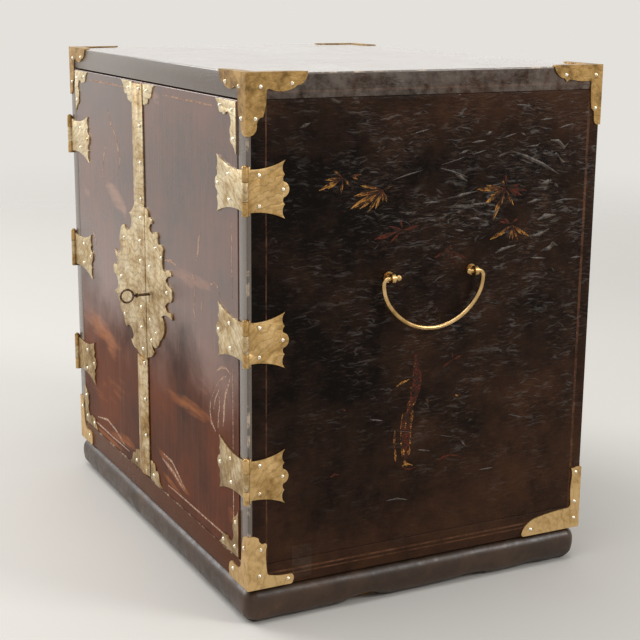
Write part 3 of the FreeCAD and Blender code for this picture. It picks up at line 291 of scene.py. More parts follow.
def uneven(piece, facing, cuts, height, grain, seed):
    """Divides the large faces that face one way and moves their inner points as warped boards move."""
    direction = Vector(facing)
    with Editing(piece) as work:
        mesh = bmesh.from_edit_mesh(piece.data)
        facing_it = [f for f in mesh.faces if f.normal.dot(direction) > 0.99]
        largest = max(f.calc_area() for f in facing_it)
        work.choose(lambda f: f.normal.dot(direction) > 0.99 and f.calc_area() > 0.5 * largest)
        bpy.ops.mesh.subdivide(number_cuts=cuts)
        mesh = bmesh.from_edit_mesh(piece.data)
        inner = [v for v in mesh.verts if v.select and all(f.select for f in v.link_faces)]
        offset = Vector((seed * 7.1, seed * 3.7, seed * 5.3))
        low = [min(v.co[i] for v in inner) for i in range(3)]
        high = [max(v.co[i] for v in inner) for i in range(3)]
        for vertex in inner:
            edge = min(
                min(vertex.co[i] - low[i], high[i] - vertex.co[i]) for i in range(3) if high[i] - low[i] > 10 * MM
            )
            fade = min(1.0, edge / (12 * MM))
            point = vertex.co / grain + offset
            swell = noise.fractal(point, 0.8, 2.0, 4)
            # Shrunk lacquer: short waves across the grain
            crease = noise.fractal(Vector((point.x * 3, point.y * 3, point.z * 9)), 0.9, 2.0, 2)
            vertex.co += direction * height * fade * (swell + 0.3 * crease - 0.4)
        bmesh.update_edit_mesh(piece.data)
    return piece


# Materials
def feed(node, inputs):
    """Sets a node's inputs, each to a value, to a linked socket, or to the first output of another node."""
    for key, value in inputs.items():
        if isinstance(value, bpy.types.Node):
            value = value.outputs[0]
        if isinstance(value, bpy.types.NodeSocket):
            node.id_data.links.new(value, node.inputs[key])
        else:
            node.inputs[key].default_value = value


def add(tree, kind, inputs=None, stops=None, **settings):
    """Adds a shader node with its settings, its inputs as feed takes them, and a ramp's stops."""
    made = tree.nodes.new("ShaderNode" + kind)
    for key, value in settings.items():
        setattr(made, key, value)
    feed(made, inputs or {})
    if stops:
        ramp = made.color_ramp
        while len(ramp.elements) < len(stops):
            ramp.elements.new(0.5)
        for element, (place, tint) in zip(ramp.elements, stops):
            element.position = place
            element.color = tint if len(tint) == 4 else (*tint, 1)
    return made


def blank(name):
    """A new material: its node tree, its shader and the Object coordinates."""
    material = bpy.data.materials.new(name)
    material.use_nodes = True
    tree = material.node_tree
    tree.nodes.clear()
    shader = add(tree, "BsdfPrincipled")
    add(tree, "OutputMaterial", {"Surface": shader})
    place = add(tree, "TexCoord").outputs["Object"]
    return material, tree, shader, place


def grey(value):
    return (value, value, value, 1)


def rgba(value):
    return (*value, 1)


def sheet_place(tree, place):
    """Across and up on a face, in millimetres: upright faces by X + Y and Z, level ones by X and Y."""
    facing = add(tree, "SeparateXYZ", {"Vector": add(tree, "NewGeometry").outputs["True Normal"]})
    level = add(tree, "Math", {0: facing.outputs["Z"], 1: 0.7}, operation="GREATER_THAN")
    axes = add(tree, "SeparateXYZ", {"Vector": place}).outputs
    across = add(tree, "Math", {0: axes["X"], 1: axes["Y"]}, operation="ADD")
    upright = add(tree, "CombineXYZ", {"X": across, "Y": axes["Z"]})
    flat = add(tree, "CombineXYZ", {"X": axes["Y"], "Y": axes["X"]})
    face = add(tree, "Mix", {0: level, 4: upright, 5: flat}, data_type="VECTOR")
    return add(tree, "VectorMath", {0: face.outputs[1], "Scale": 1 / MM}, operation="SCALE"), axes


def ridges(tree, face, cell, long, wide, tilt, crowd):
    """Lens-shaped ridges, one in a cell: long and wide in millimetres, tilted up to so many radians."""
    shrunk = add(tree, "VectorMath", {0: face, 1: (1 / cell[0], 1 / cell[1], 1)}, operation="MULTIPLY")
    cells = add(tree, "TexVoronoi", {"Vector": shrunk, "Scale": 1}, voronoi_dimensions="2D")
    away = add(tree, "VectorMath", {0: shrunk, 1: cells.outputs["Position"]}, operation="SUBTRACT")
    real = add(tree, "VectorMath", {0: away, 1: (*cell, 0)}, operation="MULTIPLY")
    chance = add(tree, "SeparateColor", {"Color": cells.outputs["Color"]}).outputs
    turn = add(tree, "MapRange", {"Value": chance[0], "To Min": -tilt, "To Max": tilt})
    turned = add(tree, "VectorRotate", {"Vector": real, "Angle": turn}, rotation_type="Z_AXIS")
    length = add(tree, "MapRange", {"Value": chance[1], "To Min": 2.2 / long, "To Max": 1.0 / long})
    spread = add(tree, "CombineXYZ", {"X": length, "Y": 1 / wide, "Z": 0})
    shaped = add(tree, "VectorMath", {0: turned, 1: spread}, operation="MULTIPLY")
    far = add(tree, "VectorMath", {0: shaped}, operation="LENGTH")
    fall = {"Value": far.outputs["Value"], "From Min": 1, "From Max": 0.15}
    rise = add(tree, "MapRange", fall, interpolation_type="SMOOTHSTEP")
    there = add(tree, "Math", {0: chance[2], 1: crowd}, operation="LESS_THAN")
    return add(tree, "Math", {0: rise, 1: there}, operation="MULTIPLY")


def wrinkles(tree, face, tilt, size, half):
    """Long broken crests: tilt in radians, size is about how long and how far apart in millimetres."""
    turned = add(
        tree, "Mapping", {"Vector": face, "Rotation": (0, 0, tilt), "Scale": (1 / size[0], 1 / size[1], 1)}
    )
    waves = add(tree, "TexNoise", {"Vector": turned, "Scale": 1, "Detail": 3}, noise_dimensions="2D")
    off = add(tree, "Math", {0: waves, 1: 0.5}, operation="SUBTRACT")
    near = add(tree, "Math", {0: off}, operation="ABSOLUTE")
    crest = add(
        tree, "MapRange", {"Value": near, "From Min": half, "From Max": 0}, interpolation_type="SMOOTHSTEP"
    )
    pieces = add(tree, "TexNoise", {"Vector": turned, "Scale": 1.7, "Detail": 2}, noise_dimensions="2D")
    there = add(tree, "MapRange", {"Value": pieces.outputs["Color"], "From Min": 0.54, "From Max": 0.62})
    return add(tree, "Math", {0: crest, 1: there}, operation="MULTIPLY")


def line_at(tree, axis, place, half, start=None, end=None, along=None):
    """A painted line of that half width, where an axis reaches a place; along another axis it may start and end."""
    off = add(tree, "Math", {0: axis, 1: place}, operation="SUBTRACT")
    near = add(tree, "Math", {0: off}, operation="ABSOLUTE")
    inside = add(tree, "Math", {0: near, 1: half}, operation="LESS_THAN")
    for limit, test in ((start, "GREATER_THAN"), (end, "LESS_THAN")):
        if limit is not None:
            part = add(tree, "Math", {0: along, 1: limit}, operation=test)
            inside = add(tree, "Math", {0: inside, 1: part}, operation="MULTIPLY")
    return inside


def highest(tree, values):
    """The greatest of several values."""
    top = values[0]
    for value in values[1:]:
        top = add(tree, "Math", {0: top, 1: value}, operation="MAXIMUM")
    return top


# Places on the case: in front of the first, and above the others, hands and cloths have rubbed it
FRONT_FACE = -0.1545
RAIL_TOP = 0.055
BAND_FOOT = 0.4112
LID_TOP = 0.4285
# The chipped edges of the sides, the lid and the bottom rail, and how far forward chips begin; the lid's edge also
# carries a painted highlight
SIDE_RIM = 0.2146
LID_SIDE_RIM = 0.2136
LID_RIM = 0.4296
RAIL_RIM = 0.0496
FRONT_RIM = -0.156
# Where the upright border lines begin and end
LINE_FOOT = 0.045
LINE_HEAD = 0.409


def black_urushi():
    # Urushi is tree-sap lacquer, brushed on wood in many coats: a deep gloss. Age dries it into wrinkles
    # and splits, whose crests catch the light while the ground stays nearly black; the crests are also painted a
    # dusty grey, which is dust and a painted highlight. Edges that hands and cloths have rubbed shine more, and are
    # painted paler as a painted sheen; the bottom rail is painted browner as a painted warm reflection.
    look = bpy.context.scene.cabinet_lacquer
    material, tree, shader, place = blank("black_urushi")
    face, axes = sheet_place(tree, place)
    wander = add(tree, "TexNoise", {"Vector": face, "Scale": 0.07, "Detail": 3}, noise_dimensions="2D")
    crooked = add(
        tree, "VectorMath", {0: wander.outputs["Color"], 1: (5, 5, 0), 2: face}, operation="MULTIPLY_ADD"
    )
    # Where it has dried most: high up and away from the front
    height = add(
        tree, "MapRange", {"Value": axes["Z"], "From Min": 0.06, "From Max": 0.34, "To Min": 0.12, "To Max": 1}
    )
    depth = add(
        tree, "MapRange", {"Value": axes["Y"], "From Min": -0.15, "From Max": 0.0, "To Min": 0.2, "To Max": 1}
    )
    dry = add(tree, "Math", {0: height, 1: depth}, operation="MULTIPLY")
    patches = add(tree, "TexNoise", {"Vector": face, "Scale": 0.03, "Detail": 3}, noise_dimensions="2D")
    patch = add(
        tree, "MapRange", {"Value": patches, "From Min": 0.38, "From Max": 0.62, "To Min": 0.1, "To Max": 1.2}
    )
    lid = add(tree, "Math", {0: axes["Z"], 1: LID_TOP}, operation="GREATER_THAN")
    calm = add(tree, "Math", {0: lid, 1: -0.7, 2: 1.0}, operation="MULTIPLY_ADD")
    in_patches = add(tree, "Math", {0: dry, 1: patch}, operation="MULTIPLY")
    dried = add(tree, "Math", {0: in_patches, 1: calm}, operation="MULTIPLY")
    waves = highest(
        tree,
        [
            ridges(tree, crooked, (28, 9), 11, 1.0, 0.45, 0.32),
            ridges(tree, crooked, (14, 5), 6, 0.6, 0.6, 0.22),
            wrinkles(tree, crooked, -0.24, (34, 8), 0.06),
            wrinkles(tree, crooked, 0.36, (36, 11), 0.045),
        ],
    )
    raised = add(tree, "Math", {0: waves, 1: dried}, operation="MULTIPLY")
    streaky = add(tree, "VectorMath", {0: crooked, 1: (0.1, 0.55, 1)}, operation="MULTIPLY")
    streak = add(
        tree, "TexNoise", {"Vector": streaky, "Scale": 1, "Detail": 4, "Roughness": 0.7}, noise_dimensions="2D"
    )
    off = add(tree, "Math", {0: streak, 1: 0.5}, operation="SUBTRACT")
    much = add(tree, "Math", {0: dried, 1: 0.5, 2: 0.14}, operation="MULTIPLY_ADD")
    grained = add(tree, "Math", {0: off, 1: much}, operation="MULTIPLY")
    fine = {"Vector": crooked, "Scale": 0.45, "Detail": 5, "Roughness": 0.65}
    crazing = add(tree, "TexNoise", fine, noise_dimensions="2D")
    rough = add(tree, "Math", {0: crazing, 1: 0.32, 2: raised}, operation="MULTIPLY_ADD")
    streaked = add(tree, "Math", {0: grained, 1: 1.2, 2: rough}, operation="MULTIPLY_ADD")
    bump = add(tree, "Bump", {"Height": streaked, "Strength": 1.0, "Distance": look.wrinkle})
    # Colour: black, browner in places; browner near the bottom and the back as a painted warm sheen
    tone = add(tree, "TexNoise", {"Vector": place, "Scale": 13, "Detail": 7, "Roughness": 0.68})
    low = add(
        tree, "MapRange", {"Value": axes["Z"], "From Min": 0.24, "From Max": 0.05, "To Min": 0, "To Max": 0.2}
    )
    back = add(
        tree,
        "MapRange",
        {"Value": axes["Y"], "From Min": -0.1, "From Max": 0.14, "To Min": -0.05, "To Max": 0.12},
    )
    top = add(
        tree, "MapRange", {"Value": axes["Z"], "From Min": 0.33, "From Max": 0.4, "To Min": -0.02, "To Max": 0.12}
    )
    deep = tone
    for part in (grained, low, back, top):
        deep = add(tree, "Math", {0: deep, 1: part}, operation="ADD")
    ground = add(
        tree,
        "ValToRGB",
        {"Fac": deep},
        stops=((0.4, look.deep[:]), (0.6, look.warm[:]), (0.78, look.mist[:])),
    )
    # Crests painted a dusty grey: dust, and a painted highlight where the ridges would catch the light
    film = add(tree, "MapRange", {"Value": grained, "From Min": 0.02, "From Max": 0.12, "To Max": 0.25})
    crest_dust_and_highlight = add(tree, "Math", {0: raised, 1: 0.3, 2: film}, operation="MULTIPLY_ADD")
    # Worn border lines: near the front, the back, the top and the bottom of each side
    lines = highest(
        tree,
        [
            line_at(tree, axes["Y"], -0.1423, 0.55 * MM, LINE_FOOT, LINE_HEAD, axes["Z"]),
            line_at(tree, axes["Y"], 0.1478, 1.2 * MM, LINE_FOOT, LINE_HEAD, axes["Z"]),
            line_at(tree, axes["Z"], 0.4163, 0.8 * MM),
            line_at(tree, axes["Z"], 0.0418, 0.8 * MM),
            line_at(tree, axes["Z"], 0.0382, 0.6 * MM),
        ],
    )
    rub = add(tree, "TexNoise", {"Vector": place, "Scale": 90, "Detail": 5, "Roughness": 0.7})
    left = add(
        tree, "MapRange", {"Value": rub, "From Min": 0.35, "From Max": 0.65, "To Min": 0.05, "To Max": 0.75}
    )
    kept = add(tree, "Math", {0: lines, 1: left}, operation="MULTIPLY")
    # Rubbed faces: the front edges, the lid's top and its side band, glossier and painted paler as a painted sheen;
    # the bottom rail is painted browner as a painted warm reflection
    front = add(tree, "Math", {0: axes["Y"], 1: FRONT_FACE}, operation="LESS_THAN")
    upper = add(tree, "Math", {0: axes["Z"], 1: RAIL_TOP}, operation="GREATER_THAN")
    front_upper = add(tree, "Math", {0: front, 1: upper}, operation="MULTIPLY")
    band = add(tree, "Math", {0: axes["Z"], 1: BAND_FOOT}, operation="GREATER_THAN")
    band_worn = add(tree, "Math", {0: band, 1: left}, operation="MULTIPLY")
    # The bottom rail's front: a painted warm reflection in browner red
    rail_side = add(tree, "Math", {0: upper, 1: 0.5}, operation="LESS_THAN")
    rail = add(tree, "Math", {0: rail_side, 1: front}, operation="MULTIPLY")
    rubbed = highest(tree, [front_upper, lid, band_worn])
    # Painted sheen: the rubbed faces painted towards the crest grey
    rubbed_painted_sheen = add(tree, "Math", {0: rubbed, 1: 0.9}, operation="MULTIPLY")
    # The pale mark of a lost mount, near the front and the bottom
    mark = line_at(tree, axes["Y"], -0.1115, 8.5 * MM, 0.0335, 0.0605, axes["Z"])
    worn_mark = add(tree, "Math", {0: mark, 1: left}, operation="MULTIPLY")
    faint = add(tree, "Math", {0: worn_mark, 1: 0.32}, operation="MULTIPLY")
    # Chips along the edges show the pale priming; along the lid's top edge they also serve as a painted highlight
    chips_and_lid_highlight = highest(
        tree,
        [
            line_at(tree, axes["X"], SIDE_RIM, 0.7 * MM, None, FRONT_RIM, axes["Y"]),
            line_at(tree, axes["X"], -SIDE_RIM, 0.7 * MM, None, FRONT_RIM, axes["Y"]),
            line_at(tree, axes["Z"], RAIL_RIM, 0.7 * MM, None, FRONT_RIM, axes["Y"]),
            line_at(tree, axes["Z"], LID_RIM, 0.6 * MM, LID_SIDE_RIM, None, axes["X"]),
            line_at(tree, axes["Z"], LID_RIM, 0.6 * MM, None, -LID_SIDE_RIM, axes["X"]),
        ],
    )
    knocks = add(tree, "TexNoise", {"Vector": place, "Scale": 60, "Detail": 7, "Roughness": 0.72})
    knocked = add(tree, "MapRange", {"Value": knocks, "From Min": 0.51, "From Max": 0.62})
    chipped = add(tree, "Math", {0: chips_and_lid_highlight, 1: knocked}, operation="MULTIPLY")
    # One over the other, each where its mask says
    for mask, tint in (
        (crest_dust_and_highlight, look.crest),
        (kept, look.line),
        (rubbed_painted_sheen, look.crest),
        (rail, look.rail),
        (faint, look.crest),
        (chipped, look.chip),
    ):
        ground = add(tree, "Mix", {0: mask, 6: ground, 7: rgba(tint)}, data_type="RGBA").outputs[2]
    gloss = add(
        tree, "MapRange", {"Value": tone, "From Min": 0.3, "From Max": 0.7, "To Min": 0.24, "To Max": 0.4}
    )
    # The hollows have lost their shine; crests and rubbed faces have kept it
    shine = add(tree, "MapRange", {"Value": raised, "To Min": 0.0, "To Max": 0.62})
    all_shine = highest(tree, [shine, rubbed])
    feed(
        shader,
        {
            "Normal": bump,
            "Base Color": ground,
            "Roughness": gloss,
            "Coat Weight": all_shine,
            "Coat Roughness": 0.24,
            "Coat IOR": 1.7,
            "Specular IOR Level": 0.06,
        },
    )
    return material


# Worn orange painting on the doors, in millimetres across from the middle of the case and up from its bottom:
# middle, half length and half width, lean in degrees, how much is left
CLOUDS = (
    ((92, 118), (56, 8), 2, 0.9),
    ((52, 47), (46, 6), -14, 0.85),
    ((60, 32), (34, 4), -10, 0.6),
    ((132, 146), (22, 11), 5, 0.45),
    ((186, 49), (14, 9), -35, 0.6),
    ((-82, 35), (42, 8), 4, 0.8),
    ((-125, 22.5), (66, 4), 0, 0.6),
    ((-110, 76), (78, 18), 13, 0.45),
    ((-84, 269), (34, 11), -17, 1.0),
    ((-66, 264), (16, 9), -30, 0.9),
    ((-143, 132), (62, 14), -7, 0.9),
    ((-112, 122), (22, 12), -30, 0.8),
    ((106, 228), (52, 8), 2, 0.7),
    ((-173, 262), (18, 9), -34, 0.5),
    ((28, 368), (14, 6), -13, 0.8),
)


def door_urushi():
    # The doors' lacquer is thinner and redder, brushed up and down. A hand's polish is left on the upper
    # part, which takes the window's grey; lower down it is duller and shows red-brown with orange painting.
    look = bpy.context.scene.cabinet_lacquer
    material, tree, shader, place = blank("door_urushi")
    axes = add(tree, "SeparateXYZ", {"Vector": place}).outputs
    streaks = add(tree, "Mapping", {"Vector": place, "Scale": (1.0, 1.0, 0.06)})
    grain = add(tree, "TexNoise", {"Vector": streaks, "Scale": 210, "Detail": 6, "Roughness": 0.65})
    broad = add(tree, "TexNoise", {"Vector": place, "Scale": 11, "Detail": 6, "Roughness": 0.65})
    blend = add(tree, "Math", {0: grain, 1: 0.26, 2: broad}, operation="MULTIPLY_ADD")
    ground = add(tree, "ValToRGB", {"Fac": blend}, stops=((0.46, look.door_dark[:]), (0.8, look.door_red[:])))
    # Feathery brushwork of worn orange
    brushed = add(tree, "Mapping", {"Vector": place, "Rotation": (0, 0.12, 0), "Scale": (0.16, 1.0, 1.0)})
    feather = add(tree, "TexNoise", {"Vector": brushed, "Scale": 130, "Detail": 6, "Roughness": 0.66})
    face_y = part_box("right_door")[0].y
    low_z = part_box("case_bottom")[0].z
    spots = []
    for (across, up), (long, wide), lean, left in CLOUDS:
        spot = add(
            tree,
            "Mapping",
            {
                "Vector": place,
                "Location": (across * MM, face_y, low_z + up * MM),
                "Rotation": (0, -math.radians(lean), 0),
                "Scale": (long * MM, 1, wide * MM),
            },
            vector_type="TEXTURE",
        )
        far = add(tree, "VectorMath", {0: spot}, operation="LENGTH").outputs["Value"]
        here = {"Value": far, "From Min": 1.3, "From Max": 0.3, "To Max": left}
        spots.append(add(tree, "MapRange", here, interpolation_type="SMOOTHSTEP"))
    near = highest(tree, spots)
    torn = add(tree, "Math", {0: feather, 1: 2.6, 2: near}, operation="MULTIPLY_ADD")
    ragged_edge = add(tree, "MapRange", {"Value": torn, "From Min": 1.6, "From Max": 2.5})
    inside = add(tree, "MapRange", {"Value": near, "From Max": 0.4})
    # The clouds are on the outer faces alone
    outer = add(tree, "Math", {0: axes["Y"], 1: face_y + 7 * MM}, operation="LESS_THAN")
    soft = add(tree, "Math", {0: inside, 1: outer}, operation="MULTIPLY")
    mask = add(tree, "Math", {0: ragged_edge, 1: soft}, operation="MULTIPLY")
    up = add(tree, "MapRange", {"Value": axes["Z"], "From Min": 0.2, "From Max": 0.3})
    tint = add(tree, "Mix", {0: up, 6: rgba(look.ember), 7: rgba(look.faded)}, data_type="RGBA")
    painted = add(tree, "Mix", {0: mask, 6: ground, 7: tint.outputs[2]}, data_type="RGBA")
    # Fine upright scratches show the priming
    fine = add(tree, "Mapping", {"Vector": place, "Scale": (1.0, 1.0, 0.02)})
    scratch = add(tree, "TexNoise", {"Vector": fine, "Scale": 520, "Detail": 3})
    cuts = add(tree, "MapRange", {"Value": scratch, "From Min": 0.6, "From Max": 0.8, "To Max": 0.12})
    scratched = add(tree, "Mix", {0: cuts, 6: painted.outputs[2], 7: rgba(look.chip)}, data_type="RGBA")
    bump = add(tree, "Bump", {"Height": grain, "Strength": 0.2, "Distance": 0.25 * MM})
    gloss = add(
        tree, "MapRange", {"Value": broad, "From Min": 0.3, "From Max": 0.7, "To Min": 0.3, "To Max": 0.42}
    )
    ragged = add(tree, "Math", {0: broad, 1: 0.14, 2: axes["Z"]}, operation="MULTIPLY_ADD")
    hand_high = {"Value": ragged, "From Min": 0.22, "From Max": 0.305, "To Max": 0.92}
    polish = add(tree, "MapRange", hand_high, interpolation_type="SMOOTHSTEP")
    high = add(
        tree, "MapRange", {"Value": axes["Z"], "From Min": 0.3, "From Max": 0.4, "To Min": 1.0, "To Max": 1.25}
    )
    leftward = add(
        tree, "MapRange", {"Value": axes["X"], "From Min": 0.05, "From Max": -0.1, "To Min": 1.0, "To Max": 1.16}
    )
    both = add(tree, "Math", {0: leftward, 1: high}, operation="MULTIPLY")
    coat = add(tree, "Math", {0: polish, 1: both}, operation="MULTIPLY")
    feed(
        shader,
        {
            "Base Color": scratched.outputs[2],
            "Normal": bump,
            "Roughness": gloss,
            "Coat Weight": coat,
            "Coat Roughness": 0.24,
            "Coat IOR": 1.7,
            "Specular IOR Level": 0.04,
        },
    )
    return material


def plinth_urushi():
    # Thick black lacquer over the moulding, handled, knocked and dusty: a soft sheen on its shoulder,
    # brown in patches where it is worn thin and as a painted warm reflection, small dents.
    look = bpy.context.scene.cabinet_lacquer
    material, tree, shader, place = blank("plinth_urushi")
    tone = add(tree, "TexNoise", {"Vector": place, "Scale": 26, "Detail": 7, "Roughness": 0.68})
    # Brown patches: worn-thin lacquer and a painted warm reflection
    ground = add(
        tree,
        "ValToRGB",
        {"Fac": tone},
        stops=((0.38, look.plinth[:]), (0.6, linear("#493526")), (0.75, linear("#634a37"))),
    )
    dents = add(tree, "TexNoise", {"Vector": place, "Scale": 110, "Detail": 5, "Roughness": 0.6})
    bump = add(tree, "Bump", {"Height": dents, "Strength": 0.5, "Distance": 0.8 * MM})
    gloss = add(
        tree, "MapRange", {"Value": dents, "From Min": 0.35, "From Max": 0.65, "To Min": 0.3, "To Max": 0.5}
    )
    feed(
        shader,
        {
            "Base Color": ground,
            "Normal": bump,
            "Roughness": gloss,
            "IOR": 1.5,
            "Specular IOR Level": 0.3,
            "Coat Weight": 0.16,
            "Coat Roughness": 0.3,
        },
    )
    return material


def red_urushi():
    # Drawer fronts: clean dark red urushi, kept from light behind the doors.
    material, tree, shader, place = blank("red_urushi")
    tone = add(tree, "TexNoise", {"Vector": place, "Scale": 14, "Detail": 5, "Roughness": 0.6})
    ground = add(tree, "ValToRGB", {"Fac": tone}, stops=((0.35, linear("#2c0f0b")), (0.7, linear("#4a1a10"))))
    # Gold flakes of about half a millimetre, drawn a little larger than real ones so that they show
    flakes = add(tree, "TexVoronoi", {"Vector": place, "Scale": 420})
    spot = add(tree, "ValToRGB", {"Fac": flakes.outputs["Distance"]}, stops=((0.1, grey(0.8)), (0.16, grey(0.0))))
    sprinkled = add(tree, "Mix", {0: spot, 6: ground, 7: rgba(linear("#8a5a26"))}, data_type="RGBA")
    feed(shader, {"Base Color": sprinkled.outputs[2], "Roughness": 0.22, "IOR": 1.5})
    return material


def kiri_wood():
    # Paulownia planed and left bare: pale straw wood with soft brown growth lines some 4 mm apart.
    material, tree, shader, place = blank("kiri_wood")
    along = add(tree, "Mapping", {"Vector": place, "Scale": (1.0, 0.08, 1.0)})
    wander = add(tree, "TexNoise", {"Vector": along, "Scale": 20, "Detail": 3})
    lines = add(
        tree,
        "TexWave",
        {"Vector": along, "Scale": 42, "Distortion": 5.5, "Detail": 3, "Detail Scale": 1.2},
        wave_type="BANDS",
        bands_direction="DIAGONAL",
    )
    tone = add(tree, "Math", {0: lines.outputs["Fac"], 1: 0.2, 2: wander}, operation="MULTIPLY_ADD")
    ground = add(
        tree,
        "ValToRGB",
        {"Fac": tone},
        stops=((0.35, linear("#c49a63")), (0.75, linear("#a87b48")), (0.95, linear("#8a6036"))),
    )
    pores = add(tree, "TexNoise", {"Vector": along, "Scale": 700, "Detail": 2})
    bump = add(tree, "Bump", {"Height": pores, "Strength": 0.2, "Distance": 0.2 * MM})
    feed(shader, {"Base Color": ground, "Normal": bump, "Roughness": 0.62})
    return material


def aged_brass(name, rubbed, dull, engraving, fade=0.0, polish=0.0):
    # Sheet brass, cut, filed and engraved by hand: dull yellow with brown tarnish in the engraved lines
    # and rubbed bright on the crests. A fade above 0 browns the upper mounts, one below 0 the lower ones.
    look = bpy.context.scene.cabinet_brass
    material, tree, shader, place = blank(name)
    height = add(tree, "SeparateXYZ", {"Vector": place}).outputs["Z"]
    wander = add(tree, "TexNoise", {"Vector": place, "Scale": 70, "Detail": 4})
    bent = add(
        tree,
        "VectorMath",
        {0: wander.outputs["Color"], 1: (0.012, 0.012, 0.012), 2: place},
        operation="MULTIPLY_ADD",
    )
    # Scrolls: curved lines about 3.5 mm apart, coarser than the real ones so that they show
    scroll = add(
        tree,
        "TexWave",
        {"Vector": bent, "Scale": 64, "Distortion": 5.0, "Detail": 2, "Detail Scale": 1.6},
        wave_type="RINGS",
        rings_direction="SPHERICAL",
    )
    line = add(tree, "ValToRGB", {"Fac": scroll.outputs["Fac"]}, stops=((0.0, grey(0)), (0.2, grey(1))))
    stain = add(tree, "TexNoise", {"Vector": place, "Scale": 60, "Detail": 7, "Roughness": 0.72})
    handled = add(tree, "Math", {0: height, 1: -fade, 2: 0.23 * fade}, operation="MULTIPLY_ADD")
    shown = add(tree, "Math", {0: stain, 1: handled}, operation="ADD")
    tone = add(
        tree,
        "ValToRGB",
        {"Fac": shown},
        stops=((0.24, look.tarnish[:]), (0.42, dull), (0.66, rubbed)),
    )
    dark = add(tree, "Math", {0: line, 1: -0.4 * engraving, 2: 0.4 * engraving}, operation="MULTIPLY_ADD")
    cut_lines = add(tree, "Mix", {0: dark, 6: tone, 7: rgba(look.tarnish[:])}, data_type="RGBA")
    hammer = add(tree, "TexNoise", {"Vector": place, "Scale": 190, "Detail": 4})
    relief = add(tree, "Math", {0: line, 1: 0.5 * engraving, 2: hammer}, operation="MULTIPLY_ADD")
    bump = add(tree, "Bump", {"Height": relief, "Strength": 0.4, "Distance": 0.4 * MM})
    rough = add(tree, "ValToRGB", {"Fac": stain}, stops=((0.3, grey(0.55 - polish)), (0.7, grey(0.36 - polish))))
    feed(shader, {"Base Color": cut_lines.outputs[2], "Normal": bump, "Roughness": rough, "Metallic": 1.0})
    return material


# Front mounts in paler brass than the side ones: a painted reflection of the window, and rubbing
def front_brass_painted_glare():
    look = bpy.context.scene.cabinet_brass
    return aged_brass("front_brass_painted_glare", look.pale[:], look.dull_pale_glare[:], 1.0, -0.7)


# The strap's rubbed parts are the front's pale brass, with its painted reflection of the window
def strap_brass():
    look = bpy.context.scene.cabinet_brass
    return aged_brass("strap_brass", look.pale[:], look.golden_dull[:], 1.0, -0.15)


def side_brass():
    look = bpy.context.scene.cabinet_brass
    return aged_brass("side_brass", look.golden[:], look.golden_dull[:], 0.8)


def corner_brass():
    look = bpy.context.scene.cabinet_brass
    return aged_brass("corner_brass", look.golden[:], look.golden_dull[:], 0.6, 0.65)


def barrel_brass():
    look = bpy.context.scene.cabinet_brass
    return aged_brass("barrel_brass", look.golden_dull[:], look.tarnish[:], 0.0, 0.0, 0.1)


def plain_brass():
    look = bpy.context.scene.cabinet_brass
    return aged_brass("plain_brass", look.golden[:], look.golden_dull[:], 0.0, 0.0, 0.13)


def nail_brass():
    # Cast nail heads polished by every hand that dusted the cabinet.
    look = bpy.context.scene.cabinet_brass
    material, tree, shader, place = blank("nail_brass")
    stain = add(tree, "TexNoise", {"Vector": place, "Scale": 300, "Detail": 3})
    tone = add(tree, "ValToRGB", {"Fac": stain}, stops=((0.3, look.dull_pale_glare[:]), (0.5, look.nail[:])))
    feed(shader, {"Base Color": tone, "Metallic": 1.0, "Roughness": 0.2})
    return material


def forged_iron():
    # Forged iron, oiled and browned: dark, uneven, with a dull shine.
    look = bpy.context.scene.cabinet_brass
    material, tree, shader, place = blank("forged_iron")
    scale = add(tree, "TexNoise", {"Vector": place, "Scale": 420, "Detail": 4, "Roughness": 0.6})
    tone = add(
        tree,
        "ValToRGB",
        {"Fac": scale},
        stops=((0.35, linear("#35281f")), (0.55, look.iron[:]), (0.75, linear("#9a8168"))),
    )
    bump = add(tree, "Bump", {"Height": scale, "Strength": 0.4, "Distance": 0.15 * MM})
    feed(shader, {"Base Color": tone, "Normal": bump, "Metallic": 0.85, "Roughness": 0.42})
    return material


def powder(name, tint, root, ground, coat=0.0):
    # Gold or red powder sprinkled on wet lacquer with a brush's streaks, mostly rubbed away: a stroke is
    # full at its tip and thin and reddish at its root.
    material, tree, shader, place = blank(name)
    brush = add(tree, "Attribute", attribute_name="brush").outputs["Vector"]
    along = add(tree, "SeparateXYZ", {"Vector": brush}).outputs["X"]
    hairs = add(tree, "VectorMath", {0: brush, 1: (2.5, 1.3, 5.3)}, operation="MULTIPLY")
    streak = add(tree, "TexNoise", {"Vector": hairs, "Scale": 1, "Detail": 3})
    wear = add(tree, "TexNoise", {"Vector": place, "Scale": 300, "Detail": 5, "Roughness": 0.75})
    both = add(tree, "Math", {0: streak, 1: wear}, operation="ADD")
    full = add(
        tree, "MapRange", {"Value": along, "From Min": 0.1, "From Max": 0.7, "To Min": -0.06, "To Max": 0.05}
    )
    amount = add(tree, "Math", {0: both, 1: full}, operation="ADD")
    left = add(tree, "MapRange", {"Value": amount, "From Min": 0.96, "From Max": 1.16, "To Max": 0.95})
    patches = add(tree, "TexNoise", {"Vector": place, "Scale": 130, "Detail": 4, "Roughness": 0.7})
    aged = add(tree, "Math", {0: patches, 1: 2.4, 2: along}, operation="MULTIPLY_ADD")
    gilt = add(tree, "MapRange", {"Value": aged, "From Min": 1.3, "From Max": 2.1})
    shade = add(tree, "Mix", {0: gilt, 6: rgba(root), 7: rgba(tint)}, data_type="RGBA")
    tone = add(tree, "Mix", {0: left, 6: rgba(ground), 7: shade.outputs[2]}, data_type="RGBA")
    feed(
        shader,
        {
            "Base Color": tone.outputs[2],
            "Roughness": 0.45,
            "Specular IOR Level": 0.12,
            "Coat Weight": coat,
            "Coat IOR": 1.7,
            "Coat Roughness": 0.24,
        },
    )
    return material


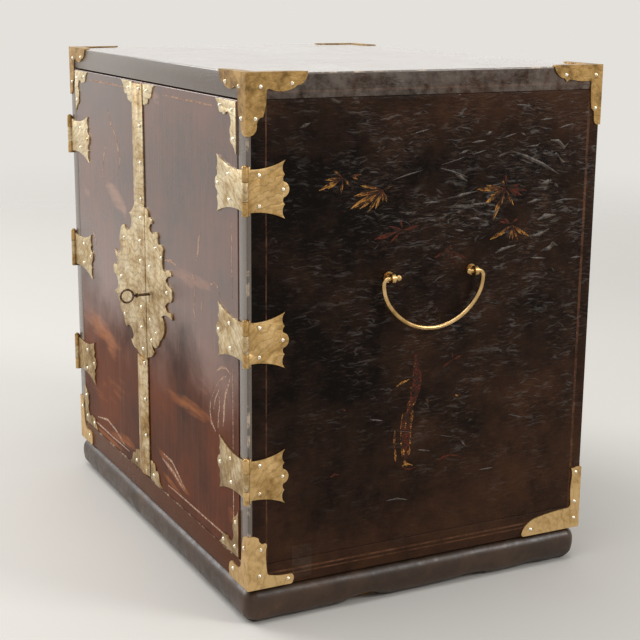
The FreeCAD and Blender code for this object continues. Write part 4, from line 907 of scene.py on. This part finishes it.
def gold_powder():
    look = bpy.context.scene.cabinet_painting
    return powder("gold_powder", look.gold[:], look.red[:], bpy.context.scene.cabinet_lacquer.warm[:])


def red_powder():
    look = bpy.context.scene.cabinet_painting
    return powder("red_powder", look.red[:], look.red[:], bpy.context.scene.cabinet_lacquer.warm[:])


def worn_gold():
    look = bpy.context.scene.cabinet_painting
    return powder("worn_gold", look.worn[:], look.worn[:], bpy.context.scene.cabinet_lacquer.door_red[:], 0.6)


def lifted_urushi():
    # Flakes of old lacquer that have lifted along cracks: the same black, greyed by dust and by a painted
    # highlight.
    look = bpy.context.scene.cabinet_lacquer
    material, tree, shader, place = blank("lifted_urushi")
    dust = add(tree, "TexNoise", {"Vector": place, "Scale": 240, "Detail": 5, "Roughness": 0.7})
    tone = add(
        tree,
        "ValToRGB",
        {"Fac": dust},
        stops=((0.36, look.deep[:]), (0.54, linear("#54483e")), (0.7, look.crest[:])),
    )
    bump = add(tree, "Bump", {"Height": dust, "Strength": 0.8, "Distance": 0.6 * MM})
    feed(shader, {"Base Color": tone, "Normal": bump, "Roughness": 0.36, "Specular IOR Level": 0.33})
    return material


def material(maker):
    """A maker's material, made the first time that it is asked for."""
    return bpy.data.materials.get(maker.__name__) or maker()


# Pieces
class CABINET_OT_case(Operator):
    """Case boards with worn edges and warped faces"""

    bl_idname = "cabinet.case"
    bl_label = "Case boards"

    # How far worn edges are rounded, and how long the waves of the warped faces are
    ROUNDING = 0.9 * MM
    WAVE = 45 * MM

    def execute(self, context):
        look = context.scene.cabinet_lacquer
        lacquer = material(black_urushi)
        faces = {
            "left_side": (-1, 0, 0),
            "right_side": (1, 0, 0),
            "case_top": (0, 0, 1),
            "back_panel": (0, 1, 0),
        }
        for seed, (node, facing) in enumerate(faces.items(), 1):
            board = softened(node, node + "_board", self.ROUNDING, 3)
            uneven(board, facing, 150, look.swell, self.WAVE, seed)
            smooth(board)
            in_place_of(node, board, lacquer)
        in_place_of("case_bottom", softened("case_bottom", "case_bottom_board", self.ROUNDING, 3), lacquer)
        return {"FINISHED"}


class CABINET_OT_plinth(Operator):
    """Worn plinth moulding and the rails inside it"""

    bl_idname = "cabinet.plinth"
    bl_label = "Plinth"

    # The grid that its faces are cut into: across, back and up
    GRID = (9 * MM, 9 * MM, 4 * MM)
    # How deep knocks are, how far the moulding bulges in at its top and bottom, and how high the worn foot reaches
    KNOCK = 0.9 * MM
    BULGE = 2.8 * MM
    FOOT = 14 * MM
    # Where the right side's lower edge has worn away: how far back, half length, depth
    WORN_AWAY = ((0.108, 0.021, 0.0034), (0.209, 0.02, 0.003), (0.274, 0.012, 0.0016))

    def execute(self, context):
        plinth = copy_of("plinth_moulding", "plinth_worn")
        low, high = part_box("plinth_moulding")
        with Editing(plinth):
            for axis in range(3):
                count = int((high[axis] - low[axis]) / self.GRID[axis])
                facing = [float(i == axis) for i in range(3)]
                for number in range(1, count + 1):
                    place = [0, 0, 0]
                    place[axis] = low[axis] + number * (high[axis] - low[axis]) / (count + 1)
                    bpy.ops.mesh.select_all(action="SELECT")
                    bpy.ops.mesh.bisect(plane_co=place, plane_no=facing)
            mesh = bmesh.from_edit_mesh(plinth.data)
            middle = (low + high) / 2
            half = (high - low) / 2
            for vertex in mesh.verts:
                point = vertex.co
                knock = noise.fractal(point / 0.03, 0.9, 2.0, 3)
                hollow = noise.noise(Vector((point.x, point.y, 0)) / 0.035 + Vector((3, 1, 0)))
                bulge = self.BULGE * ((point.z - 16 * MM) / (14 * MM)) ** 2
                for axis in range(2):
                    off = point[axis] - middle[axis]
                    if abs(off) > half[axis] - 9 * MM:
                        point[axis] -= math.copysign((0.5 + 0.5 * knock) * self.KNOCK + bulge, off)
                if point.z < self.FOOT:
                    deep = max(0.0, hollow - 0.05) * 5 * MM
                    if point.x > 0:
                        for along, reach, depth in self.WORN_AWAY:
                            off = abs(point.y - (low.y + along)) / reach
                            deep += depth * max(0.0, 1 - off * off)
                    point.z += deep * (1 - point.z / self.FOOT)
            bmesh.update_edit_mesh(plinth.data)
        smooth(plinth, 40)
        in_place_of("plinth_moulding", plinth, material(plinth_urushi))
        in_place_of("base_frame", softened("base_frame", "base_rails", 0.6 * MM), material(kiri_wood))
        return {"FINISHED"}


class CABINET_OT_doors(Operator):
    """The two doors"""

    bl_idname = "cabinet.doors"
    bl_label = "Doors"

    def execute(self, context):
        repaint(material(door_urushi), "left_door", "right_door")
        return {"FINISHED"}


class CABINET_OT_mounts(Operator):
    """Corner mounts, hinge leaves, lock plates and the closing strap in worn engraved brass"""

    bl_idname = "cabinet.mounts"
    bl_label = "Brass mounts"

    def execute(self, context):
        # How far the edges are rounded, and how close points are merged first, in millimetres
        finely, well = (0.1, 0.08), (0.12, 0.1)
        mounts = {
            "left_door_mounts": (finely, front_brass_painted_glare),
            "right_door_mounts": (finely, front_brass_painted_glare),
            "side_hinge_leaves": (finely, side_brass),
            "left_door_leaves": (well, front_brass_painted_glare),
            "right_door_leaves": (well, front_brass_painted_glare),
            "left_lock_plate": (well, front_brass_painted_glare),
            "right_lock_plate": (well, front_brass_painted_glare),
            "closing_strap": (well, strap_brass),
        }
        for node, ((width, merge), brass) in mounts.items():
            piece = softened(node, node + "_worn", width * MM, merge=merge * MM)
            in_place_of(node, piece, material(brass))
        repaint(material(corner_brass), "case_corner_mounts")
        repaint(material(barrel_brass), "hinge_pins")
        return {"FINISHED"}


class CABINET_OT_nails(Operator):
    """Domed nails in the mounts"""

    bl_idname = "cabinet.nails"
    bl_label = "Nails"

    def execute(self, context):
        repaint(material(nail_brass), "case_nails", "left_door_nails", "right_door_nails")
        return {"FINISHED"}


class CABINET_OT_handles(Operator):
    """Drop handles and their eyes"""

    bl_idname = "cabinet.handles"
    bl_label = "Carrying handles"

    def execute(self, context):
        brass = material(plain_brass)
        repaint(brass, "left_handle", "right_handle", "handle_eyes")
        return {"FINISHED"}


class CABINET_OT_lock(Operator):
    """Key, lock case, bolt and keeper"""

    bl_idname = "cabinet.lock"
    bl_label = "Lock and key"

    def execute(self, context):
        iron = material(forged_iron)
        repaint(iron, "key", "lock_bolt")
        for node in ("lock_case", "lock_keeper"):
            in_place_of(node, softened(node, node + "_worn", 0.4 * MM), iron)
        return {"FINISHED"}


class CABINET_OT_slide_bolts(Operator):
    """Slide bolts and staples inside the left door"""

    bl_idname = "cabinet.slide_bolts"
    bl_label = "Slide bolts"

    def execute(self, context):
        brass = material(plain_brass)
        for node in ("slide_bolt_staples", "top_slide_bolt", "bottom_slide_bolt"):
            in_place_of(node, softened(node, node + "_worn", 0.3 * MM), brass)
        return {"FINISHED"}


class CABINET_OT_interior(Operator):
    """Divider, linings, dust boards and door stops in bare wood"""

    bl_idname = "cabinet.interior"
    bl_label = "Inside boards"

    def execute(self, context):
        wood = material(kiri_wood)
        for node in ("centre_divider", "side_linings", "dust_boards", "door_stops"):
            in_place_of(node, softened(node, node + "_planed", 0.4 * MM), wood)
        return {"FINISHED"}


class CABINET_OT_drawers(Operator):
    """Six drawers with their pulls and rings"""

    bl_idname = "cabinet.drawers"
    bl_label = "Drawers"

    def execute(self, context):
        wood = material(kiri_wood)
        brass = material(plain_brass)
        for name in DRAWERS:
            repaint(material(red_urushi), name + "_front")
            in_place_of(name + "_box", softened(name + "_box", name + "_boards", 0.4 * MM), wood)
            repaint(brass, name + "_pull", name + "_ring")
        return {"FINISHED"}


# Painting on the right side, in millimetres from the case's front edge and up from its bottom: each spray's
# node, and the direction in degrees and length of its leaves
SPRAYS = (
    ("gold", (79.6, 320.8), ((-157, 22), (-149, 15), (144, 10), (-98, 13), (-176, 15), (-47, 8))),
    ("gold", (85.6, 321.8), ((5, 10), (-22, 7))),
    (
        "gold",
        (113.9, 309.7),
        ((-155, 31), (167, 20), (-172, 25), (-146, 24), (-128, 21), (-113, 16), (17, 8), (-67, 11), (-88, 9)),
    ),
    (
        "gold",
        (226.7, 304.1),
        ((178, 27), (168, 18), (-150, 23), (-161, 15), (-114, 27), (-104, 14), (-58, 17), (112, 8)),
    ),
    ("red", (228.2, 304.6), ((99, 12), (-9, 20), (-24, 17), (-37, 12), (12, 13))),
    ("gold", (235.2, 274.1), ((-154, 24), (-146, 14), (-104, 12), (-88, 13), (-67, 14), (-32, 20), (-42, 13))),
    ("red", (233.2, 275.1), ((144, 9), (165, 12), (30, 8))),
    ("red", (132.4, 277.3), ((-167, 26), (164, 14), (107, 8), (-4, 11), (10, 16), (-140, 15))),
    ("red", (174.0, 258.3), ((-154, 13), (48, 5), (-25, 20), (-50, 11))),
    ("red", (181.9, 166.9), ((-150, 12), (20, 9), (100, 7))),
)
# The same for brush strokes: the points that each passes, its width
SIDE_STROKES = (
    ("faint", ((146.5, 176), (147.8, 164.8), (147.6, 151.9), (145.2, 144.8)), 6),
    ("faint", ((151.5, 160.7), (150.7, 152.4), (148.9, 144.3), (146, 134)), 5),
    ("faint", ((144.5, 142), (142.9, 134), (141, 126)), 6),
    ("faint", ((139.5, 128), (139.2, 119.4), (139.4, 109.9), (139.7, 100.5), (139.9, 88)), 8.5),
    ("red", ((139.6, 110), (139.7, 103), (139.8, 96)), 4),
    ("rim", ((136.4, 127.3), (134.8, 120), (134.9, 110.6), (135.3, 101.1), (136.5, 90.9)), 1.5),
    ("rim", ((144.1, 128.1), (144.4, 118.7), (143.8, 109.3), (143.6, 99.9), (143.2, 89.9)), 1.5),
    ("rim", ((146.7, 168.8), (145.4, 163.7), (144.8, 156.6)), 1.3),
    ("rim", ((143.4, 148.8), (143.2, 144.5), (144, 140.6)), 1.5),
    ("gold", ((148.5, 138.7), (147.5, 136.1), (145.5, 133)), 1.8),
    ("rim", ((142.1, 137.3), (142.8, 131)), 1.6),
    ("rim", ((144.6, 131.8), (145.2, 128), (145.8, 121.2)), 1.6),
    ("rim", ((141.5, 130.9), (139.6, 125.8)), 1.6),
    ("gold", ((138.2, 121), (138.9, 115)), 3.6),
    ("gold", ((144.8, 122.5), (144.9, 118.5)), 2),
    ("gold", ((137.5, 97.5), (138, 91.7)), 1.8),
    ("gold", ((141.7, 95.5), (142.5, 91)), 1.8),
    ("gold", ((136.5, 82.6), (141.1, 84.2), (146.4, 82)), 1.9),
    ("rim", ((138, 87.5), (141.2, 82.2)), 3),
    ("rim", ((129.2, 114.3), (128.8, 104.9), (129.8, 97.1)), 2.2),
    ("gold", ((129.7, 98), (130.5, 87.6)), 2.3),
    ("gold", ((130.2, 150.6), (135.2, 153.4), (142.1, 155.4)), 1.9),
    ("rim", ((158, 136.6), (159.6, 133.1)), 1.6),
    ("red", ((137, 81.6), (143, 79), (149.1, 79.8)), 1.6),
    ("red", ((170.5, 82), (176, 85), (182.4, 85.6), (190, 83.5), (197.2, 80.1)), 1.5),
    ("red", ((71.2, 83.3), (75, 85), (79, 84.2)), 1.8),
    ("red", ((82, 137.8), (84, 136.6)), 1.6),
    ("gold", ((185, 136.8), (188, 135.6)), 1.4),
)
# On the doors, across from the middle of the case
DOOR_STROKES = (
    (
        "right",
        ((152, 113), (143, 118), (140.5, 127.6), (142, 136), (147.3, 142.9), (158, 155.6), (167, 161), (176, 165)),
        1.5,
    ),
    ("right", ((167.5, 121.9), (169.5, 130), (169.8, 138), (172, 147.4), (178.4, 158), (182.5, 165)), 1.4),
    ("right", ((154.1, 163.4), (164, 169), (174.6, 171.3), (184, 168)), 1.1),
    ("right", ((157, 117), (158, 128), (161, 137), (160, 146)), 0.9),
    ("right", ((148, 130), (152, 140), (160, 150)), 0.8),
    ("right", ((25.7, 50.5), (38, 49), (50.5, 47), (65, 43), (79, 38)), 1.4),
    ("right", ((30, 56), (51, 55), (65.2, 48.3), (81.5, 39.5)), 1.2),
    ("right", ((123.7, 272.2), (120.5, 264), (118.8, 255.2), (114.2, 244.6)), 1.2),
    ("right", ((128.4, 219.4), (125, 213), (123.7, 206.9)), 1.0),
    ("right", ((106.1, 232.4), (112.0, 225.6), (107.8, 203.6), (112.9, 192.1)), 1.1),
    ("right", ((42.7, 233.4), (57.7, 235.2), (67.7, 233.6)), 1.4),
    ("right", ((143.4, 231.4), (152, 235), (159.8, 232.2), (163.8, 226)), 1.0),
    ("right", ((39.7, 29.6), (80, 30.2), (120, 30.2), (160, 30.4), (184, 30.4)), 0.8),
    ("right", ((187.5, 34), (187.5, 70), (187.5, 82)), 0.7),
    ("right", ((187.5, 108), (187.5, 150), (187.5, 178)), 0.7),
    ("right", ((187.5, 225), (187.5, 262), (187.5, 290)), 0.7),
    ("right", ((45, 372.5), (90, 372.6), (140, 372.4), (156, 372.5)), 0.7),
    ("left", ((-187.3, 29), (-150, 29), (-110, 28.6), (-63, 29)), 0.9),
    ("left", ((-160, 36), (-128, 42), (-100, 38), (-78, 31)), 1.1),
    ("left", ((-45, 372.5), (-90, 372.6), (-140, 372.4), (-156, 372.5)), 0.7),
    ("left", ((-101.9, 348.3), (-95.6, 337.4), (-82.1, 327.3), (-69.7, 305.8), (-79.6, 288.6)), 1.3),
    ("left", ((-110.7, 315.2), (-119.5, 300.2), (-121.0, 283.5)), 1.2),
    ("left", ((-160.3, 229.5), (-147.3, 216.8), (-153.8, 198.3)), 1.6),
)

# Flakes of lacquer that have lifted on the right side: the points that each passes, its width
FLAKES = (
    (((230.5, 334.6), (246.8, 328.6), (262.4, 322.0), (278.8, 313.4)), 2.2),
    (((269.0, 341.4), (276.7, 340.2), (283.1, 334.5), (286.7, 338.4)), 2.4),
    (((271.3, 328.7), (275.7, 329.9), (278.4, 328.4)), 2.2),
    (((277.3, 328.4), (282.2, 322.8), (285.4, 323.0)), 1.8),
    (((261.1, 306.2), (267.5, 307.2), (271.9, 308.8)), 3.0),
    (((274.2, 306.3), (278.4, 302.5)), 2.0),
    (((248.7, 291.4), (256.3, 292.8), (261.8, 293.4)), 2.0),
    (((276.2, 291.1), (285.1, 292.0), (298.6, 291.6)), 1.0),
    (((259.3, 276.6), (266.9, 279.3), (277.5, 279.7)), 3.6),
    (((251.2, 263.3), (262.2, 264.5), (271.4, 268.4)), 2.4),
    (((264.1, 250.4), (272.8, 252.5), (276.0, 256.0), (280.6, 253.7)), 3.0),
    (((219.3, 252.1), (225.6, 254.8), (234.2, 255.9)), 2.2),
    (((179.5, 300.2), (185.7, 301.6), (200.1, 303.8)), 1.8),
    (((194.3, 293.5), (202.6, 293.0), (213.2, 294.1)), 1.5),
    (((209.2, 287.6), (217.8, 285.7), (221.9, 288.6)), 1.8),
    (((194.8, 282.3), (205.3, 280.9)), 1.8),
    (((178.9, 318.7), (184.2, 315.8), (190.4, 312.3)), 2.4),
    (((181.4, 333.9), (191.5, 336.8)), 1.5),
    (((193.4, 342.4), (206.8, 343.6)), 1.5),
    (((234.0, 371.1), (249.0, 369.3)), 1.0),
    (((207.2, 348.4), (212.3, 350.4)), 1.8),
    (((217.9, 329.9), (225.2, 333.1)), 1.0),
    (((239.4, 348.4), (244.8, 346.0)), 1.3),
    (((244.2, 337.1), (256.0, 337.5), (259.3, 339.6)), 1.0),
    (((276.0, 350.6), (290.3, 354.1)), 1.0),
    (((180.5, 273.9), (188.9, 272.4)), 1.3),
    (((294.9, 242.3), (305.2, 242.4)), 1.2),
    (((254.4, 245.5), (268.9, 244.0)), 1.3),
    (((123.0, 316.9), (134.0, 319.9), (149.6, 323.2)), 0.9),
    (((166.0, 326.4), (180.3, 329.5), (187.0, 331.4)), 0.8),
    (((196.0, 333.4), (208.0, 336.1)), 0.8),
    (((164.9, 324.0), (177.0, 320.4), (190.1, 315.6)), 1.2),
    (((150.3, 297.4), (165.8, 297.2)), 1.4),
    (((257.7, 358.0), (270.3, 358.9)), 1.2),
    (((260.3, 309.4), (273.4, 306.2)), 1.0),
    (((221.1, 254.6), (240.4, 257.3)), 1.3),
    (((43.4, 359.7), (51.6, 363.0)), 2.2),
    (((131.0, 113.4), (148.0, 109.8)), 0.45),
    (((166.0, 105.6), (188.0, 99.8)), 0.45),
    (((122.5, 55.1), (133.0, 55.4), (142.7, 52.7)), 1.3),
    (((106.4, 126.2), (117.8, 123.8)), 1.2),
    (((210.0, 68.3), (224.9, 68.2)), 1.0),
    (((192.7, 96.3), (196.8, 91.3)), 1.4),
    (((240.5, 112.4), (252.8, 108.5)), 1.0),
    (((150.6, 94.6), (163.0, 91.9)), 1.0),
    (((222.7, 345.0), (235.9, 348.4)), 1.0),
    (((139.8, 351.4), (154.9, 354.7)), 1.0),
)


def in_metres(points):
    return [(across * MM, up * MM) for across, up in points]


def brushed(piece, brush):
    """Stores where each point lies along and across a brush stroke, for the powder's streaks."""
    points = [value for vertex in piece.data.vertices for value in brush(vertex.co)]
    piece.data.attributes.new("brush", "FLOAT_VECTOR", "POINT").data.foreach_set("vector", points)


def leaf(name):
    """A bamboo leaf painted in one stroke, 1 long from its stalk along X and fullest near its tip."""
    shape = primitive("plane", name, size=1)
    widths = (0.014, 0.035, 0.08, 0.14, 0.12, 0.01)
    steps = (0.12, 0.2, 0.22, 0.2, 0.26)
    with Editing(shape, "EDGE") as work:
        bpy.ops.mesh.select_all(action="SELECT")
        bpy.ops.transform.resize(value=(steps[0], widths[0], 1), center_override=(0, 0, 0))
        bpy.ops.transform.translate(value=(steps[0] / 2, 0, 0))
        end = steps[0]
        work.choose(lambda e: all(v.co.x > end - 1e-5 for v in e.verts))
        bpy.ops.transform.resize(value=(1, widths[1] / widths[0], 1), center_override=(end, 0, 0))
        for step, before, after in zip(steps[1:], widths[1:], widths[2:]):
            bpy.ops.mesh.extrude_region_move(TRANSFORM_OT_translate={"value": (step, 0, 0)})
            end += step
            bpy.ops.transform.resize(value=(1, after / before, 1), center_override=(end, 0, 0))
        bpy.ops.mesh.select_all(action="SELECT")
        bpy.ops.mesh.subdivide(number_cuts=1)
    return shape


def stroke(name, points, width, tip=0.4, rise=0.0, fill=0.8):
    """A strip through points of the XY plane, narrower at both ends and raised along its middle."""
    start = Vector(points[0])
    first = (Vector(points[1]) - start).normalized()
    strip = primitive("plane", name, size=1)
    slant = math.atan2(first.x, -first.y)
    with Editing(strip, "VERT") as work:
        bpy.ops.mesh.select_all(action="SELECT")
        bpy.ops.mesh.delete(type="ONLY_FACE")
        work.choose(lambda v: v.co.y > 0)
        bpy.ops.mesh.delete(type="VERT")
        bpy.ops.mesh.select_all(action="SELECT")
        bpy.ops.transform.resize(value=(width * tip, 0, 0), center_override=(0, 0, 0))
        bpy.ops.transform.translate(value=(start.x, start.y, 0))
        bpy.ops.transform.rotate(value=-slant, orient_axis="Z", center_override=(start.x, start.y, 0))
        size = tip
        for number, (point, last) in enumerate(zip(points[1:], points), 2):
            step = Vector(point) - Vector(last)
            if len(points) == 2:
                # A short one gets a middle
                step = step / 2
                bpy.ops.mesh.extrude_region_move(TRANSFORM_OT_translate={"value": (step.x, step.y, 0)})
                middle = (start + Vector(point)) / 2
                bpy.ops.transform.resize(value=(1 / size, 1 / size, 1), center_override=(middle.x, middle.y, 0))
                size = 1.0
            bpy.ops.mesh.extrude_region_move(TRANSFORM_OT_translate={"value": (step.x, step.y, 0)})
            wanted = tip if number == len(points) else 1.0
            bpy.ops.transform.resize(value=(wanted / size, wanted / size, 1), center_override=(*point, 0))
            size = wanted
        bpy.ops.mesh.select_all(action="SELECT")
        bpy.ops.mesh.subdivide(number_cuts=1, smoothness=0)
        if rise:
            work.choose(lambda v: not v.is_boundary)
            bpy.ops.transform.translate(value=(0, 0, rise))
    brushed(strip, lambda co: (fill, 0.6 * co.x / MM, 0.15 * co.y / MM))
    return strip


class CABINET_OT_painting(Operator):
    """Worn bamboo sprays and strokes in gold and red powder, and flakes of lifted lacquer"""

    bl_idname = "cabinet.painting"
    bl_label = "Painting"

    # Thickness of the powder, and its clearance over the uneven boards and the flat doors
    THICKNESS = 0.05 * MM
    OVER_BOARDS = 0.06 * MM
    OVER_DOORS = 0.03 * MM
    # Flakes and door strokes are drawn so much wider than measured, so that they show
    FLAKE_WIDTH = 1.3
    DOOR_WIDTH = 2.2
    # A flake's middle stands up by so much of what its width has beyond half a millimetre
    FLAKE_RISE = 0.38
    # Which powder a stroke is in, and how full the brush was; and how full on the doors
    TINTS = {
        "gold": (gold_powder, 0.8),
        "rim": (gold_powder, 0.5),
        "red": (red_powder, 0.8),
        "faint": (red_powder, 0.3),
    }
    DOOR_FILL = 0.6

    def execute(self, context):
        drawn = {gold_powder: [], red_powder: [], lifted_urushi: []}
        self.draw_leaves(context, drawn)
        self.draw_strokes(drawn)
        self.paint_sides(context, drawn)
        self.paint_doors()
        return {"FINISHED"}

    def draw_leaves(self, context, drawn):
        first = leaf("leaf")
        for number, (tint, (along, up), leaves) in enumerate(SPRAYS):
            for angle, long in leaves:
                piece = bpy.data.objects.new("leaf", first.data.copy())
                context.scene.collection.objects.link(piece)
                # A short leaf is as broad as one 14 mm long
                wide = max(long, 14)
                brushed(piece, lambda co: (co.x, co.y * wide, number + angle * 0.37))
                turn = Matrix.Rotation(math.radians(angle), 4, "Z")
                size = Matrix.Diagonal((long * MM, wide * MM, 1, 1))
                piece.matrix_world = Matrix.Translation((along * MM, up * MM, 0)) @ turn @ size
                drawn[self.TINTS[tint][0]].append(piece)
        bpy.data.objects.remove(first)

    def draw_strokes(self, drawn):
        for tint, points, width in SIDE_STROKES:
            maker, fill = self.TINTS[tint]
            drawn[maker].append(stroke("stroke", in_metres(points), width * MM, fill=fill))
        for points, width in FLAKES:
            rise = self.FLAKE_RISE * max(0, width - 0.5) * MM
            flake = stroke("flake", in_metres(points), self.FLAKE_WIDTH * width * MM, 0.15, rise)
            drawn[lifted_urushi].append(flake)

    def paint_sides(self, context, drawn):
        """Stands the drawings up on both sides: X goes back along Y, and Y goes up."""
        side_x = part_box("right_side")[1].x
        front_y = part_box("right_side")[0].y
        low_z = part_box("case_bottom")[0].z
        for maker, pieces in drawn.items():
            drawing = joined(pieces, "drawing")
            for side, way in SIDES.items():
                flat = drawing.copy()
                flat.data = drawing.data.copy()
                flat.name = f"{side}_side_{maker.__name__}"
                context.scene.collection.objects.link(flat)
                rows = ((0, 0, way, way * (side_x + 2 * MM)), (1, 0, 0, front_y), (0, 1, 0, low_z), (0, 0, 0, 1))
                flat.matrix_world = Matrix(rows)
                self.lay(flat, bpy.data.objects[side + "_side_board"], way)
                dressed(flat, "case", material(maker))
            bpy.data.objects.remove(drawing)

    def paint_doors(self):
        low_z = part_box("case_bottom")[0].z
        for side in SIDES:
            face_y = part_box(side + "_door")[0].y
            strips = [
                stroke("stroke", in_metres(points), self.DOOR_WIDTH * width * MM, fill=self.DOOR_FILL)
                for door, points, width in DOOR_STROKES
                if door == side
            ]
            flat = joined(strips, side + "_door_gold")
            rows = ((1, 0, 0, 0), (0, 0, -1, face_y - self.OVER_DOORS), (0, 1, 0, low_z), (0, 0, 0, 1))
            flat.matrix_world = Matrix(rows)
            settle(flat)
            self.thicken(flat)
            dressed(flat, side + "_door", material(worn_gold))

    def lay(self, flat, board, way):
        """Drops a drawing onto the uneven board, where it keeps its own relief, and thickens it."""
        relief = [vertex.co.z for vertex in flat.data.vertices]
        apply_modifier(
            flat,
            "SHRINKWRAP",
            target=board,
            wrap_method="PROJECT",
            use_project_z=True,
            use_negative_direction=True,
            use_positive_direction=False,
            offset=self.OVER_BOARDS,
        )
        settle(flat)
        for vertex, rise in zip(flat.data.vertices, relief):
            vertex.co.x += way * rise
        self.thicken(flat)

    def thicken(self, flat):
        apply_modifier(flat, "SOLIDIFY", thickness=self.THICKNESS, offset=0.0)
        with Editing(flat):
            bpy.ops.mesh.select_all(action="SELECT")
            bpy.ops.mesh.normals_make_consistent(inside=False)


class CABINET_OT_stage(Operator):
    """Pale floor, soft light and the camera"""

    bl_idname = "cabinet.stage"
    bl_label = "Stage"

    # How far the floor lies under the plinth, so that the two faces don't flicker
    SUNK = 0.2 * MM

    def execute(self, context):
        self.floor(context)
        self.light(context)
        self.camera(context)
        context.scene.view_settings.view_transform = "Standard"
        return {"FINISHED"}

    def floor(self, context):
        look = context.scene.cabinet_stage
        floor = primitive(
            "circle", "floor", vertices=96, radius=look.reach, fill_type="NGON", location=(0, 0, -self.SUNK)
        )
        settle(floor)
        material, tree, shader, place = blank("pale_floor")
        tone = add(tree, "TexNoise", {"Vector": place, "Scale": 1.5, "Detail": 3})
        ground = add(
            tree,
            "ValToRGB",
            {"Fac": tone},
            stops=((0.3, [c * 0.96 for c in look.floor]), (0.7, look.floor[:])),
        )
        feed(shader, {"Base Color": ground, "Roughness": 0.8})
        # The floor fades into the room well away from the cabinet
        far = add(tree, "VectorMath", {0: place}, operation="LENGTH")
        fade = add(
            tree,
            "MapRange",
            {"Value": far.outputs["Value"], "From Min": 0.16 * look.reach, "From Max": 0.7 * look.reach},
            interpolation_type="SMOOTHSTEP",
        )
        clear = add(tree, "BsdfTransparent")
        mixed = add(tree, "MixShader", {0: fade, 1: shader, 2: clear})
        feed(tree.nodes["Material Output"], {"Surface": mixed})
        floor.data.materials.append(material)

    def light(self, context):
        look = context.scene.cabinet_stage
        world = bpy.data.worlds.new("room")
        world.use_nodes = True
        tree = world.node_tree
        tree.nodes.clear()
        ray = add(tree, "LightPath").outputs
        seen = add(tree, "Background", {"Color": rgba(look.wall), "Strength": 1.0})
        lit = add(tree, "Background", {"Color": rgba(look.wall), "Strength": look.ambient})
        direct = add(tree, "Math", {0: ray["Is Camera Ray"], 1: ray["Is Glossy Ray"]}, operation="MAXIMUM")
        mixed = add(tree, "MixShader", {0: direct, 1: lit, 2: seen})
        add(tree, "OutputWorld", {"Surface": mixed})
        context.scene.world = world
        # A tall window at the left front, a smaller one behind on the right, a wide pale one behind on the
        # left that the lid mirrors, and a ceiling light
        lamps = (
            ("window", (-1.9, -1.5, 1.5), (1.6, 1.6), 48, 0.15),
            ("back_window", (1.9, 1.5, 1.55), (0.8, 0.8), 26, 0.15),
            ("far_window", (-2.26, 1.14, 1.04), (2.6, 0.9), 3.7, 0.43),
            ("ceiling", (0.2, -0.3, 2.5), (1.8, 1.8), 34, 0.15),
        )
        for name, place, (wide, tall), watts, aim in lamps:
            light = bpy.data.lights.new(name, "AREA")
            light.shape = "RECTANGLE"
            light.size = wide
            light.size_y = tall
            light.energy = watts
            lamp = bpy.data.objects.new(name, light)
            lamp.location = place
            lamp.rotation_euler = (Vector((0, 0, aim)) - Vector(place)).to_track_quat("-Z", "Y").to_euler()
            context.scene.collection.objects.link(lamp)

    def camera(self, context):
        look = context.scene.cabinet_stage
        flat = math.cos(look.elevation)
        forward = Vector(
            (-math.sin(look.azimuth) * flat, math.cos(look.azimuth) * flat, -math.sin(look.elevation))
        )
        level = forward.cross(Vector((0, 0, 1))).normalized()
        upright = level.cross(forward)
        right = level * math.cos(look.roll) + upright * math.sin(look.roll)
        turn = Matrix((right, right.cross(forward), -forward)).transposed()
        data = bpy.data.cameras.new("camera")
        data.lens = look.lens
        data.sensor_width = 36
        camera = bpy.data.objects.new("camera", data)
        camera.matrix_world = Matrix.Translation(Vector(look.place)) @ turn.to_4x4()
        context.scene.collection.objects.link(camera)
        context.scene.camera = camera


PIECES = (
    CABINET_OT_case,
    CABINET_OT_plinth,
    CABINET_OT_doors,
    CABINET_OT_mounts,
    CABINET_OT_nails,
    CABINET_OT_handles,
    CABINET_OT_lock,
    CABINET_OT_slide_bolts,
    CABINET_OT_interior,
    CABINET_OT_drawers,
    CABINET_OT_painting,
    CABINET_OT_stage,
)
LOOKS = {
    "cabinet_lacquer": LacquerLook,
    "cabinet_brass": BrassLook,
    "cabinet_painting": PaintingLook,
    "cabinet_stage": StageLook,
}


class CABINET_PT_pieces(Panel):
    """Lists the cabinet's pieces"""

    bl_label = "Cabinet"
    bl_idname = "CABINET_PT_pieces"
    bl_space_type = "VIEW_3D"
    bl_region_type = "UI"
    bl_category = "Cabinet"

    def draw(self, context):
        for look in LOOKS:
            group = getattr(context.scene, look)
            for key in group.__annotations__:
                self.layout.prop(group, key)
        for piece in PIECES:
            self.layout.operator(piece.bl_idname)


def register():
    for group in (*LOOKS.values(), *PIECES, CABINET_PT_pieces):
        bpy.utils.register_class(group)
    for name, group in LOOKS.items():
        setattr(bpy.types.Scene, name, PointerProperty(type=group))


def unregister():
    for name in LOOKS:
        delattr(bpy.types.Scene, name)
    for group in reversed((*LOOKS.values(), *PIECES, CABINET_PT_pieces)):
        bpy.utils.unregister_class(group)


def main():
    register()
    for piece in PIECES:
        area, name = piece.bl_idname.split(".")
        getattr(getattr(bpy.ops, area), name)()


if __name__ == "__main__":
    main()
